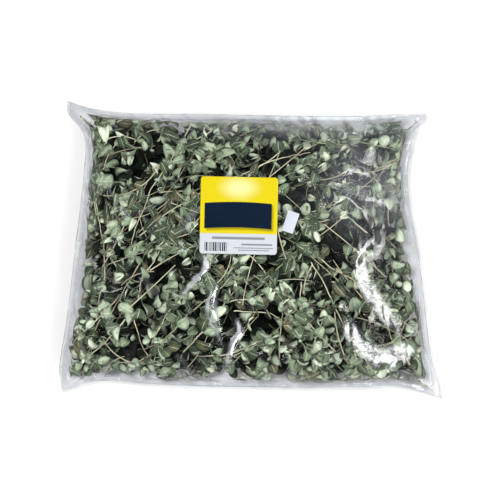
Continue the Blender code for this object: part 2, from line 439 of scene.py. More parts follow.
@dataclass
class FilmWrinkles:
    """The creases, puckers and bumps of the two films, and the strips where the front one shines.

    In the shiny strips a crease's height is how strongly it mirrors.
    """

    form: PouchForm
    label_middle: tuple[float, float] = (-11.5 * MM, 33.5 * MM)
    label_half: float = 38.1 * MM
    loose_creases: int = 120
    loose_reach: tuple[float, float] = (165, 128)
    corner_reach: tuple[float, float] = (185, 140)
    to_corner: float = 0.6
    loose_length: tuple[float, float] = (12, 46)
    loose_height: tuple[float, float] = (0.35, 1.3)
    loose_width: tuple[float, float] = (2.6, 6.5)
    pucker_fine: float = 0.9 * MM
    pucker_wide: float = 1.6 * MM
    fan_height: float = 1.6 * MM
    fan_folds: int = 17
    fan_corner: tuple[float, float] = (186 * MM, 146 * MM)
    wave_height: float = 1.7 * MM
    ripple_height: float = 0.8 * MM
    streak_height: float = 0.7 * MM
    least_shine: float = 0.07
    most_shine: float = 1.3
    crease_shine: float = 0.7
    seal_shine: float = 0.2
    strip_gain: float = 2.4
    strip_foot: float = 0.5
    ragged: float = 1.6 * MM
    smoothed: float = 0.92
    seed: int = 5
    shiny: tuple[Crease, ...] = (
        Crease(
            (
                (123.5, 13.5), (111.5, 1.5), (106.5, -12.5), (111.5, -32.5), (121.5, -48.5),
                (137.5, -68.5), (153.5, -88.5),
            ),
            1.0, 11, Fold.ROUND,
        ),
        Crease(((101.5, -16.5), (107.5, -0.5), (126.5, 9.5), (128.5, 19.5)), 0.8, 6, Fold.ROUND),
        Crease(((93.5, -40.5), (99.5, -52.5), (105.5, -62.5)), 0.45, 9, Fold.ROUND),
        Crease(
            (
                (87.5, -64.5), (99.5, -81.5), (111.5, -96.5), (127.5, -108.5), (141.5, -116.5),
            ),
            1.0, 14, Fold.ROUND,
        ),
        Crease(((121.5, -102.5), (141.5, -108.5), (165.5, -94.5)), 1.0, 17, Fold.ROUND),
        Crease(((141.5, -120.5), (157.5, -126.5), (177.5, -138.5)), 0.7, 8, Fold.ROUND),
        Crease(((-46.5, -1.5), (-43.5, -15.5), (-52.5, -28.5), (-72.5, -49.5)), 2.7, 5, Fold.ROUND),
        Crease(
            (
                (-34.5, -28.5), (-41.5, -48.5), (-42.5, -65.5), (-34.5, -80.5), (-24.5, -98.5),
            ),
            2.4, 3.4, Fold.ROUND,
        ),
        Crease(((-31.5, -29.5), (-36.5, -50.5), (-34.5, -70.5), (-24.5, -97.5)), 1.2, 3.0, Fold.ROUND),
        Crease(((-15.5, -66.5), (-10.5, -80.5), (-18.5, -93.5), (-24.5, -119.5)), 2.7, 5.5, Fold.ROUND),
        Crease(
            (
                (-146.5, 81.5), (-134.5, 46.5), (-120.5, 32.5), (-100.5, 38.5), (-82.5, 50.5),
            ),
            0.6, 2.6, Fold.ROUND,
        ),
        Crease(((-69.5, 13.5), (-60.5, 27.5), (-51.5, 42.5)), 1.0, 6, Fold.ROUND),
        Crease(((-140.5, 24.5), (-132.5, 11.5), (-138.5, -0.5)), 0.5, 5, Fold.ROUND),
        Crease(((-110.5, -18.5), (-100.5, -35.5), (-90.5, -46.5)), 0.5, 5, Fold.ROUND),
        Crease(((-74.5, -102.5), (-66.5, -112.5), (-60.5, -122.5)), 0.5, 5, Fold.ROUND),
        Crease(((-144.5, -62.5), (-138.5, -74.5), (-144.5, -84.5)), 0.5, 4, Fold.ROUND),
    )
    named: tuple[Crease, ...] = (
        Crease(((-46.5, -0.5), (-43.5, -15.5), (-52.5, -28.5), (-74.5, -50.5)), 3.2, 6),
        Crease(((-34.5, -26.5), (-42.5, -56.5), (-23.5, -100.5)), 3.0, 5.5),
        Crease(((-15.5, -64.5), (-10.5, -80.5), (-18.5, -93.5), (-24.5, -120.5)), 2.8, 6),
        Crease(
            (
                (105.5, 9.5), (97.5, -12.5), (102.5, -32.5), (111.5, -50.5), (127.5, -70.5),
                (145.5, -92.5),
            ),
            2.4, 15, Fold.SHED,
        ),
        Crease(
            (
                (79.5, -66.5), (89.5, -86.5), (99.5, -100.5), (111.5, -112.5), (125.5, -125.5),
            ),
            4.0, 18, Fold.SHED,
        ),
        Crease(((99.5, -16.5), (110.5, -0.5), (127.5, 15.5)), 2.2, 6),
        Crease(((-146.5, 83.5), (-134.5, 46.5), (-120.5, 32.5), (-100.5, 38.5), (-80.5, 51.5)), 1.3, 3.2),
        Crease(((-71.5, 9.5), (-61.5, 24.5), (-50.5, 44.5)), 2.2, 6),
        Crease(((-112.5, -16.5), (-100.5, -35.5), (-89.5, -48.5)), 2.0, 5),
        Crease(((-160, 128), (-120, 118), (-70, 122)), 2.0, 7),
        Crease(((20, 122), (70, 116), (120, 122), (150, 128)), 2.2, 8),
        Crease(((118, 98), (132, 60), (140, 20)), 2.0, 8),
        Crease(((-170, -50), (-158, -90), (-172, -124)), 1.6, 5),
    )

    def loose(self) -> list[Crease]:
        """Short creases strewn over the film, most of them pointing to the nearest corner.

        Returns:
            The creases.
        """
        draw = random.Random(self.seed)
        found = []
        for _ in range(self.loose_creases):
            x, y = (draw.uniform(-reach, reach) for reach in self.loose_reach)
            corner_x, corner_y = self.corner_reach
            corner = math.atan2(math.copysign(corner_y, y) - y, math.copysign(corner_x, x) - x)
            aimed = draw.random() < self.to_corner
            heading = corner + draw.gauss(0, 0.5) if aimed else draw.uniform(0, math.pi)
            length = draw.uniform(*self.loose_length)
            bend = draw.uniform(-0.5, 0.5)
            half = (math.cos(heading) * length / 2, math.sin(heading) * length / 2)
            middle = (x - half[1] * bend, y + half[0] * bend)
            line = ((x - half[0], y - half[1]), middle, (x + half[0], y + half[1]))
            height = draw.choice((-1, 1, 1)) * draw.uniform(*self.loose_height)
            found.append(Crease(line, height, draw.uniform(*self.loose_width)))
        return found

    def slack(self, x: Array, y: Array) -> Array:
        """How free the film is to wrinkle: not at all under the label.

        Args:
            x: Places across, in metres.
            y: Places up, in metres.

        Returns:
            The freedom there, from 0 to 1.
        """
        across = np.maximum(np.abs(x - self.label_middle[0]), np.abs(y - self.label_middle[1]))
        return smoothstep(self.label_half - 3 * MM, self.label_half + 9 * MM, across)

    def puckers(self, x: Array, y: Array, u: Array, v: Array) -> Array:
        """The small gathers that run in from the four seams and the fans at the corners.

        Args:
            x: Places across, in metres.
            y: Places up, in metres.
            u: The same places as shares across.
            v: The same places as shares up.

        Returns:
            Their lift there, in metres.
        """
        found = np.zeros(x.shape)
        for share, along, seed in ((v, x, 21), (u, y, 23)):
            reach = smoothstep(0.66, 0.93, np.abs(share)) * (1 - smoothstep(0.965, 0.995, np.abs(share)))
            fine = Ripple(seed).at(along, np.sign(share) * 0.3 + 0 * along, 9 * MM)
            wide = Ripple(seed + 1).at(along, np.sign(share) * 0.3 + 0 * along, 21 * MM)
            found += reach * (self.pucker_fine * fine + self.pucker_wide * wide)
        for side in (-1, 1):
            for end in (-1, 1):
                cx, cy = side * self.fan_corner[0], end * self.fan_corner[1]
                away = np.hypot(x - cx, y - cy)
                angle = np.arctan2((y - cy) * -end, (x - cx) * -side)
                reach = smoothstep(0.012, 0.035, away) * (1 - smoothstep(0.05, 0.12, away))
                fan = np.sin(angle * self.fan_folds + 3 * side + end)
                found += reach * self.fan_height * fan
        return found

    def front(self, x: Array, y: Array) -> Array:
        """How far the front film stands off its smooth shape.

        Args:
            x: Places across, in metres.
            y: Places up, in metres.

        Returns:
            The lift there, in metres.
        """
        u, v = self.form.shares(x, y)
        lift = self.puckers(x, y, u, v)
        for crease in self.loose():
            lift += crease.lift(x, y)
        lift += 0.9 * MM * Ripple(31).at(x, y, 31 * MM) + 0.65 * MM * Ripple(33).at(x, y, 11 * MM)
        calm = np.zeros(x.shape)
        for strip in self.shiny:
            calm = np.maximum(calm, strip.lift(x, y) / (strip.height * MM))
        lift *= 1 - self.smoothed * np.clip(calm * 1.4, 0, 1)
        for crease in self.named:
            lift += crease.lift(x, y)
        inside = 1 - smoothstep(0.945, 0.975, np.maximum(np.abs(u), np.abs(v)))
        return lift * self.slack(x, y) * inside

    def strips(self, x: Array, y: Array) -> Array:
        """How much points lie in the strips that catch the light, with ragged edges.

        Args:
            x: Places across, in metres.
            y: Places up, in metres.

        Returns:
            The strips' strength there.
        """
        x = x + self.ragged * Ripple(91).at(x, y, 6 * MM)
        y = y + self.ragged * Ripple(92).at(x, y, 6 * MM)
        found = np.zeros(x.shape)
        for strip in self.shiny:
            shape = strip.lift(x, y) / (strip.height * MM)
            inside = np.clip(self.strip_gain * shape - self.strip_foot, 0, 1)
            found = np.maximum(found, strip.height * inside)
        return found

    def shine(self, x: Array, y: Array) -> Array:
        """How strongly the front film mirrors: most where it stands clear of the leaves.

        Args:
            x: Places across, in metres.
            y: Places up, in metres.

        Returns:
            The strength there.
        """
        found = self.strips(x, y)
        for crease in self.loose()[::2]:
            shape = np.abs(crease.lift(x, y)) / (abs(crease.height) * MM)
            found = np.maximum(found, self.crease_shine * shape)
        u, v = self.form.shares(x, y)
        sealed = smoothstep(0.92, 0.96, np.maximum(np.abs(u), np.abs(v)))
        found = np.maximum(found, self.seal_shine * sealed)
        return self.least_shine + (1 - self.least_shine) * np.clip(found, 0, self.most_shine)

    def seal(self, x: Array, y: Array) -> Array:
        """The slow waves and fine streaks of the sealed rim, which both films share.

        Args:
            x: Places across, in metres.
            y: Places up, in metres.

        Returns:
            Their height there, in metres.
        """
        u, v = self.form.shares(x, y)
        outer = smoothstep(0.86, 0.97, np.maximum(np.abs(u), np.abs(v)))
        wave = self.wave_height * Ripple(41).at(x, y, 30 * MM)
        wave += self.ripple_height * Ripple(43).at(x, y, 11 * MM)
        beside = smoothstep(-0.02, 0.02, np.abs(u) - np.abs(v))
        upright = Ripple(45).at(x + 0.06 * y, y, 3.6 * MM, 7.0)
        level = Ripple(47).at(y, x, 3.6 * MM, 7.0)
        streaks = upright * beside + level * (1 - beside)
        return outer * (wave + self.streak_height * streaks)

    def back(self, x: Array, y: Array) -> Array:
        """How far the back film stands off its smooth shape.

        Args:
            x: Places across, in metres.
            y: Places up, in metres.

        Returns:
            The lift there, in metres.
        """
        u, v = self.form.shares(x, y)
        rising = smoothstep(0.5, 0.75, np.maximum(np.abs(u), np.abs(v)))
        lift = rising * (self.puckers(x, y, u, v) + 0.8 * MM * Ripple(51).at(x, y, 24 * MM))
        return lift + 0.25 * MM * np.abs(Ripple(53).at(x, y, 17 * MM))


@dataclass
class PouchSurfaces:
    """The two films as they lie, wrinkles included, and the room that they leave the sprigs.

    Past the share "free" the sprigs are drawn in, and none of them reaches past "brim".
    """

    form: PouchForm
    wrinkles: FilmWrinkles
    front: HeightField = field(default_factory=HeightField)
    back: HeightField = field(default_factory=HeightField)
    roof: HeightField = field(default_factory=HeightField)
    wall: float = 0.3 * MM
    roof_lift: float = 0.3 * MM
    clear: float = 0.7 * MM
    free: float = 0.905
    brim: float = 0.95
    brim_waver: float = 0.017

    def __post_init__(self) -> None:
        """Works out both films on the grid."""
        x, y = self.front.grid()
        u, v = self.form.shares(x, y)
        u, v = np.clip(u, -1, 1), np.clip(v, -1, 1)
        seal = self.wrinkles.seal(x, y)
        base = self.form.front(u, v)
        lift = self.wrinkles.front(x, y)
        back = self.form.back(u, v) - 0.25 * MM + self.wrinkles.back(x, y) + seal
        self.back.heights = np.maximum(back, 0.05 * MM)
        self.front.heights = np.maximum(base + lift + seal, self.back.heights + self.wall)
        self.roof.heights = base + np.minimum(lift, self.roof_lift) + seal

    def settle(self, points: Array) -> Array:
        """Presses points between the films, keeping which lies over which.

        Args:
            points: The points, one a row.

        Returns:
            The pressed points.
        """
        x, y, z = points.T.copy()
        u, v = self.form.shares(x, y)
        outside = np.maximum(np.abs(u), np.abs(v)) > self.free
        over = self.brim - self.free + self.brim_waver * Ripple(95).at(x[outside], y[outside], 15 * MM)
        held = [
            np.sign(s) * np.minimum(np.abs(s), self.free)
            + np.sign(s) * over * np.tanh(np.maximum(np.abs(s) - self.free, 0) / over)
            for s in (u[outside], v[outside])
        ]
        x[outside], y[outside] = self.form.place(*held)
        top = self.roof.at(x, y) - self.clear
        bottom = self.back.at(x, y) + self.clear
        room = np.maximum(top - bottom, 0.4 * MM)
        soft = np.minimum(1.6 * MM, 0.2 * room)
        z = top - softplus(top - z, soft)
        z = bottom + softplus(z - bottom, soft)
        return np.stack((x, y, np.minimum(z, bottom + room)), axis=1)


def new_mesh(name: str, points: Array, faces: list, smooth: bool = True) -> bpy.types.Mesh:
    """Makes a mesh of points and faces.

    Args:
        name: The mesh's name.
        points: The points, one a row.
        faces: Each face's point numbers.
        smooth: Whether the faces are shaded as one smooth surface.

    Returns:
        The mesh.
    """
    mesh = bpy.data.meshes.new(name)
    mesh.from_pydata([tuple(p) for p in points], [], faces)
    mesh.polygons.foreach_set("use_smooth", [smooth] * len(mesh.polygons))
    mesh.update()
    return mesh


def set_values(mesh: bpy.types.Mesh, name: str, values: Array, kind: str = "FLOAT") -> None:
    """Stores one value for each point of a mesh.

    Args:
        mesh: The mesh.
        name: The name that the values are kept under.
        values: The values, in the points' order.
        kind: Their type: FLOAT, INT or FLOAT_VECTOR.
    """
    layer = mesh.attributes.new(name, kind, "POINT")
    word = "vector" if kind == "FLOAT_VECTOR" else "value"
    layer.data.foreach_set(word, np.asarray(values).ravel())


def add_object(name: str, mesh: bpy.types.Mesh, finishes: list) -> bpy.types.Object:
    """Makes an object of a mesh and puts it in the scene.

    Args:
        name: Its name.
        mesh: Its mesh.
        finishes: Its materials.

    Returns:
        The object.
    """
    made = bpy.data.objects.new(name, mesh)
    bpy.context.scene.collection.objects.link(made)
    for finish in finishes:
        mesh.materials.append(finish)
    return made


def set_flat_map(mesh: bpy.types.Mesh, places: Array) -> None:
    """Gives a mesh its flat map.

    Args:
        mesh: The mesh.
        places: Each point's place on the map, across and up, one point a row.
    """
    layer = mesh.uv_layers.new(name="UVMap")
    corners = np.array([corner.vertex_index for corner in mesh.loops])
    layer.data.foreach_set("uv", places[corners].ravel())


def stand_for(made: bpy.types.Object, slot: str, *nodes: str) -> None:
    """Puts a piece on the part's body in place of its solids.

    Args:
        made: The piece.
        slot: Its material slot in the record; not used.
        *nodes: The nodes that it replaces.
    """
    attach(made, BODY)
    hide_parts(*nodes)


class Shading:
    """A material's node tree, with short ways to add to it."""

    def __init__(self, name: str) -> None:
        """Starts an empty material.

        Args:
            name: The material's name.
        """
        self.material = bpy.data.materials.new(name)
        self.material.use_nodes = True
        self.tree = self.material.node_tree
        self.tree.nodes.clear()
        self.output = self.tree.nodes.new("ShaderNodeOutputMaterial")

    def add(self, kind: str, inputs: dict | None = None, **settings: object) -> bpy.types.Node:
        """Adds a node.

        Args:
            kind: The node's type, without the word ShaderNode.
            inputs: What goes into its sockets, by name or number: a value or another node's socket.
            **settings: The node's own settings.

        Returns:
            The node.
        """
        node = self.tree.nodes.new("ShaderNode" + kind)
        for name, value in settings.items():
            setattr(node, name, value)
        for key, value in (inputs or {}).items():
            self.join(value, node.inputs[key])
        return node

    def join(self, value: object, socket: bpy.types.NodeSocket) -> None:
        """Puts a value, or another node's socket, into a socket.

        Args:
            value: The value or the other socket.
            socket: The socket that takes it.
        """
        if isinstance(value, bpy.types.NodeSocket):
            self.tree.links.new(value, socket)
        elif isinstance(value, tuple) and len(value) == 3 and socket.type == "RGBA":
            socket.default_value = (*value, 1.0)
        else:
            socket.default_value = value

    def math(self, operation: str, *values: object, clamp: bool = False) -> bpy.types.NodeSocket:
        """The result of a sum.

        Args:
            operation: The sum's name.
            *values: What it works on: values or sockets.
            clamp: Whether the result is kept between 0 and 1.

        Returns:
            The result's socket.
        """
        node = self.add("Math", dict(enumerate(values)), operation=operation, use_clamp=clamp)
        return node.outputs[0]

    def times(self, first: object, second: object) -> bpy.types.NodeSocket:
        """The product of two values or sockets."""
        return self.math("MULTIPLY", first, second)

    def mix(self, share: object, first: object, second: object) -> bpy.types.NodeSocket:
        """A mix of two colours.

        Args:
            share: How much of the second there is, from 0 to 1.
            first: The first colour.
            second: The second colour.

        Returns:
            The mixed colour's socket.
        """
        node = self.add("Mix", data_type="RGBA")
        self.join(share, node.inputs["Factor"])
        self.join(first, node.inputs[6])
        self.join(second, node.inputs[7])
        return node.outputs[2]

    def span(
        self, value: object, low: float, high: float, to: tuple[float, float] = (0, 1)
    ) -> bpy.types.NodeSocket:
        """A value moved softly from one range to another.

        Args:
            value: The value.
            low: Where the first range starts.
            high: Where the first range ends.
            to: The second range.

        Returns:
            The moved value's socket.
        """
        node = self.add("MapRange", {0: value, 1: low, 2: high, 3: to[0], 4: to[1]})
        node.interpolation_type = "SMOOTHSTEP"
        return node.outputs[0]

    def noise(
        self, scale: float, detail: float = 3.0, rough: float = 0.5, where: object = None
    ) -> bpy.types.NodeSocket:
        """Soft noise over the piece's own coordinates.

        Args:
            scale: How many bumps there are in a metre.
            detail: How many finer layers it has.
            rough: How strong the finer layers are.
            where: Other coordinates to use.

        Returns:
            The noise's socket.
        """
        where = where or self.place()
        node = self.add("TexNoise", {"Vector": where, "Scale": scale, "Detail": detail, "Roughness": rough})
        return node.outputs["Fac"]

    def place(self) -> bpy.types.NodeSocket:
        """The piece's own coordinates."""
        return self.add("TexCoord").outputs["Object"]

    def value(self, name: str) -> bpy.types.NodeSocket:
        """A value that the mesh holds."""
        return self.add("Attribute", attribute_name=name, attribute_type="GEOMETRY").outputs["Fac"]

    def flat(self) -> tuple[bpy.types.NodeSocket, bpy.types.NodeSocket]:
        """The piece's own flat map: across and up."""
        split = self.add("SeparateXYZ", {0: self.add("UVMap", uv_map="UVMap").outputs[0]})
        return split.outputs[0], split.outputs[1]

    def ramp(self, value: object, stops: list[tuple[float, Colour]]) -> bpy.types.NodeSocket:
        """A colour picked along stops by a value.

        Args:
            value: The value.
            stops: The stops, each a place and its colour.

        Returns:
            The colour's socket.
        """
        node = self.add("ValToRGB", {0: value})
        elements = node.color_ramp.elements
        while len(elements) < len(stops):
            elements.new(0.5)
        for element, (place, colour) in zip(elements, stops):
            element.position = place
            element.color = (*colour, 1.0)
        return node.outputs[0]

    def bump(self, height: object, distance: float, strength: float = 1.0) -> bpy.types.NodeSocket:
        """A relief of the surface.

        Args:
            height: The relief's height, from 0 to 1.
            distance: How high 1 stands, in metres.
            strength: How much of it shows.

        Returns:
            The surface's new normal.
        """
        return self.add("Bump", {"Height": height, "Distance": distance, "Strength": strength}).outputs[0]

    def paint(self, colour: object, rough: object, normal: object, specular: float) -> bpy.types.Material:
        """Ends the tree with an opaque surface.

        Args:
            colour: Its colour.
            rough: Its roughness.
            normal: Its normal, from a relief.
            specular: How strongly it shines.

        Returns:
            The material.
        """
        shader = self.add("BsdfPrincipled", {"Base Color": colour, "Roughness": rough, "Normal": normal})
        shader.inputs["Specular IOR Level"].default_value = specular
        return self.finish(shader)

    def finish(self, shader: bpy.types.Node) -> bpy.types.Material:
        """Ends the tree with a shader and gives the material."""
        self.tree.links.new(shader.outputs[0], self.output.inputs["Surface"])
        return self.material


@dataclass(frozen=True)
class LeafFinish:
    """Matt sage-green oregano leaves: ribbed, faintly felted, paler below, with painted shade on one half,
    at the foot and with depth, and a painted highlight at the rim.
    """

    deep: Colour = srgb(26, 36, 26)
    green: Colour = srgb(54, 68, 48)
    sage: Colour = srgb(118, 132, 106)
    pale: Colour = srgb(196, 206, 180)
    below: Colour = srgb(164, 174, 154)
    rib: Colour = srgb(190, 196, 170)
    brown: Colour = srgb(80, 76, 54)
    shade: Colour = srgb(5, 8, 5)
    specular: float = 0.12
    veins_in_length: float = 48.0
    below_share: float = 0.55
    vein_share: float = 0.22
    midrib_share: float = 0.6
    painted_half_shade_share: float = 0.24
    painted_foot_shade_share: float = 0.35
    painted_rim_highlight_share: float = 0.5
    painted_depth_shade_share: float = 0.98

    def material(self) -> bpy.types.Material:
        """Builds the material.

        Returns:
            The material.
        """
        s = Shading("oregano_leaf")
        across, along = s.flat()
        tone = s.value("tone")
        mottle = s.noise(260, 4, 0.6)
        patch = s.noise(60, 2)
        shade = s.math("ADD", s.times(tone, 0.8), s.times(mottle, 0.3))
        colour = s.ramp(
            s.math("SUBTRACT", shade, 0.05, clamp=True),
            [(0.08, self.deep), (0.34, self.green), (0.58, self.sage), (0.86, self.pale)],
        )
        spoiled = s.times(s.span(tone, 0.14, 0.06), s.span(patch, 0.45, 0.6))
        colour = s.mix(spoiled, colour, self.brown)
        off = s.math("ABSOLUTE", s.math("SUBTRACT", across, 0.5))
        midrib = s.span(off, 0.045, 0.012)
        slant = s.math("SUBTRACT", along, s.times(off, 0.75))
        wave = s.math("SINE", s.times(slant, self.veins_in_length))
        veins = s.times(s.span(wave, 0.72, 1.0), s.span(off, 0.5, 0.3))
        below = s.span(s.value("side"), 0.45, 0.75)
        colour = s.mix(s.times(below, self.below_share), colour, self.below)
        colour = s.mix(s.times(veins, self.vein_share), colour, self.rib)
        colour = s.mix(s.times(midrib, self.midrib_share), colour, self.rib)
        rim = s.span(off, 0.44, 0.5)
        # Painted shade: one half of each leaf, picked by its tone, is darkened towards the deep colour as
        # if lit from the other side.
        hand = s.span(tone, 0.49, 0.51, (-1.0, 1.0))
        half = s.span(s.times(s.math("SUBTRACT", across, 0.5), hand), -0.02, 0.02)
        colour = s.mix(s.times(half, self.painted_half_shade_share), colour, self.deep)
        # Painted shade: each leaf darkens towards its foot, where it meets the stem.
        foot = s.span(along, 0.62, 0.1, (0.0, self.painted_foot_shade_share))
        colour = s.mix(foot, colour, self.deep)
        # Painted highlight: the leaf's rim, masked above, is lightened towards the pale colour.
        colour = s.mix(s.times(rim, self.painted_rim_highlight_share), colour, self.pale)
        # Painted shade: leaves darken towards the shade colour the deeper they lie inside the film.
        colour = s.mix(s.span(s.value("inward"), 0.14, 0.82, (0.0, self.painted_depth_shade_share)), colour, self.shade)
        relief = s.math("SUBTRACT", s.times(mottle, 0.5), s.times(veins, 0.6))
        relief = s.math("SUBTRACT", relief, s.times(midrib, 0.8))
        rough = s.span(mottle, 0.3, 0.7, (0.5, 0.68))
        return s.paint(colour, rough, s.bump(relief, 0.25 * MM, 0.8), self.specular)


@dataclass(frozen=True)
class StemFinish:
    """Straw-coloured stems, streaked lengthways, browner and a little purple in places, with painted shade
    that darkens them with depth.
    """

    straw: Colour = srgb(166, 161, 136)
    green: Colour = srgb(132, 136, 104)
    brown: Colour = srgb(92, 72, 58)
    shade: Colour = srgb(30, 28, 20)
    specular: float = 0.15

    def material(self) -> bpy.types.Material:
        """Builds the material.

        Returns:
            The material.
        """
        s = Shading("oregano_stem")
        tone = s.value("tone")
        streak = s.noise(420, 4, 0.7)
        slow = s.noise(34, 2)
        colour = s.ramp(tone, [(0.05, self.brown), (0.4, self.green), (0.75, self.straw)])
        colour = s.mix(s.span(slow, 0.54, 0.7, (0.0, 0.6)), colour, self.brown)
        colour = s.mix(s.span(streak, 0.5, 0.75, (0.0, 0.35)), colour, self.straw)
        # Painted shade: stems darken towards the shade colour the deeper they lie inside the film.
        colour = s.mix(s.span(s.value("inward"), 0.2, 1.0, (0.0, 0.85)), colour, self.shade)
        return s.paint(colour, 0.6, s.bump(streak, 0.3 * MM, 0.6), self.specular)


@dataclass(frozen=True)
class MatFinish:
    """The mat of stems and leaves deep in the pouch, coloured near-black as painted shade for the pouch's
    dark depths.
    """

    # Both colours are near-black painted shade.
    dark: Colour = srgb(3, 5, 3)
    dull: Colour = srgb(17, 22, 14)
    specular: float = 0.02

    def material(self) -> bpy.types.Material:
        """Builds the material.

        Returns:
            The material.
        """
        s = Shading("oregano_mat")
        blotch = s.noise(130, 5, 0.65)
        colour = s.ramp(blotch, [(0.5, self.dark), (0.74, self.dull)])
        return s.paint(colour, 0.85, s.bump(blotch, 2 * MM, 1.0), self.specular)


@dataclass(frozen=True)
class FilmFinish:
    """Thin clear film that mirrors where its value "shine" says so and is milky where "dull" does, with
    painted highlight bands and painted reflection haze carried in "dull".
    """

    tint: Colour = (0.948, 0.956, 0.966)
    haze: Colour = (0.255, 0.273, 0.296)
    painted_highlight_milk: Colour = (0.48, 0.51, 0.53)
    gloss: float = 0.07
    refraction: float = 1.5
    mirror_gain: float = 2.4
    most_mirror: float = 0.42
    worn_slant: float = 0.95
    worn_stretch: float = 2.6

    def material(self) -> bpy.types.Material:
        """Builds the material.

        Returns:
            The material.
        """
        s = Shading("pouch_film")
        fine = s.noise(160, 4, 0.6)
        slow = s.noise(22, 3)
        rumple = s.add(
            "TexWave",
            {"Vector": s.place(), "Scale": 26.0, "Distortion": 9.0, "Detail": 3.0},
        ).outputs["Fac"]
        relief = s.math("ADD", s.times(fine, 0.7), s.times(rumple, 0.4))
        normal = s.bump(relief, 0.8 * MM, 0.6)
        fresnel = s.add("Fresnel", {"IOR": self.refraction, "Normal": normal}).outputs[0]
        turned = {0: s.place(), 2: (0.0, 0.0, self.worn_slant), 3: (1.0, self.worn_stretch, 1.0)}
        slanted = s.add("Mapping", turned).outputs[0]
        speckle = s.span(s.noise(130, 6, 0.66, slanted), 0.33, 0.55, (0.45, 1.35))
        gained = s.times(fresnel, self.mirror_gain)
        glint = s.times(gained, s.times(speckle, s.value("shine")))
        mirror = s.math("MINIMUM", glint, self.most_mirror)
        dull = s.value("dull")
        veil = s.times(dull, s.span(slow, 0.3, 0.7, (0.5, 1.0)))
        clear = s.add("BsdfTransparent", {"Color": self.tint})
        # Where "dull" is high the milk turns whiter: the painted highlight bands and painted reflection
        # haze, and a little of the seal's outer rim.
        milk_and_painted_highlight = s.mix(s.span(dull, 0.24, 0.5), self.haze, self.painted_highlight_milk)
        milk = s.add("BsdfDiffuse", {"Color": milk_and_painted_highlight})
        body = s.add("MixShader", {0: veil, 1: clear.outputs[0], 2: milk.outputs[0]})
        gloss = {"Color": (1.0, 1.0, 1.0), "Roughness": self.gloss, "Normal": normal}
        shine = s.add("BsdfAnisotropic", gloss)
        whole = s.add("MixShader", {0: mirror, 1: body.outputs[0], 2: shine.outputs[0]})
        return s.finish(whole)


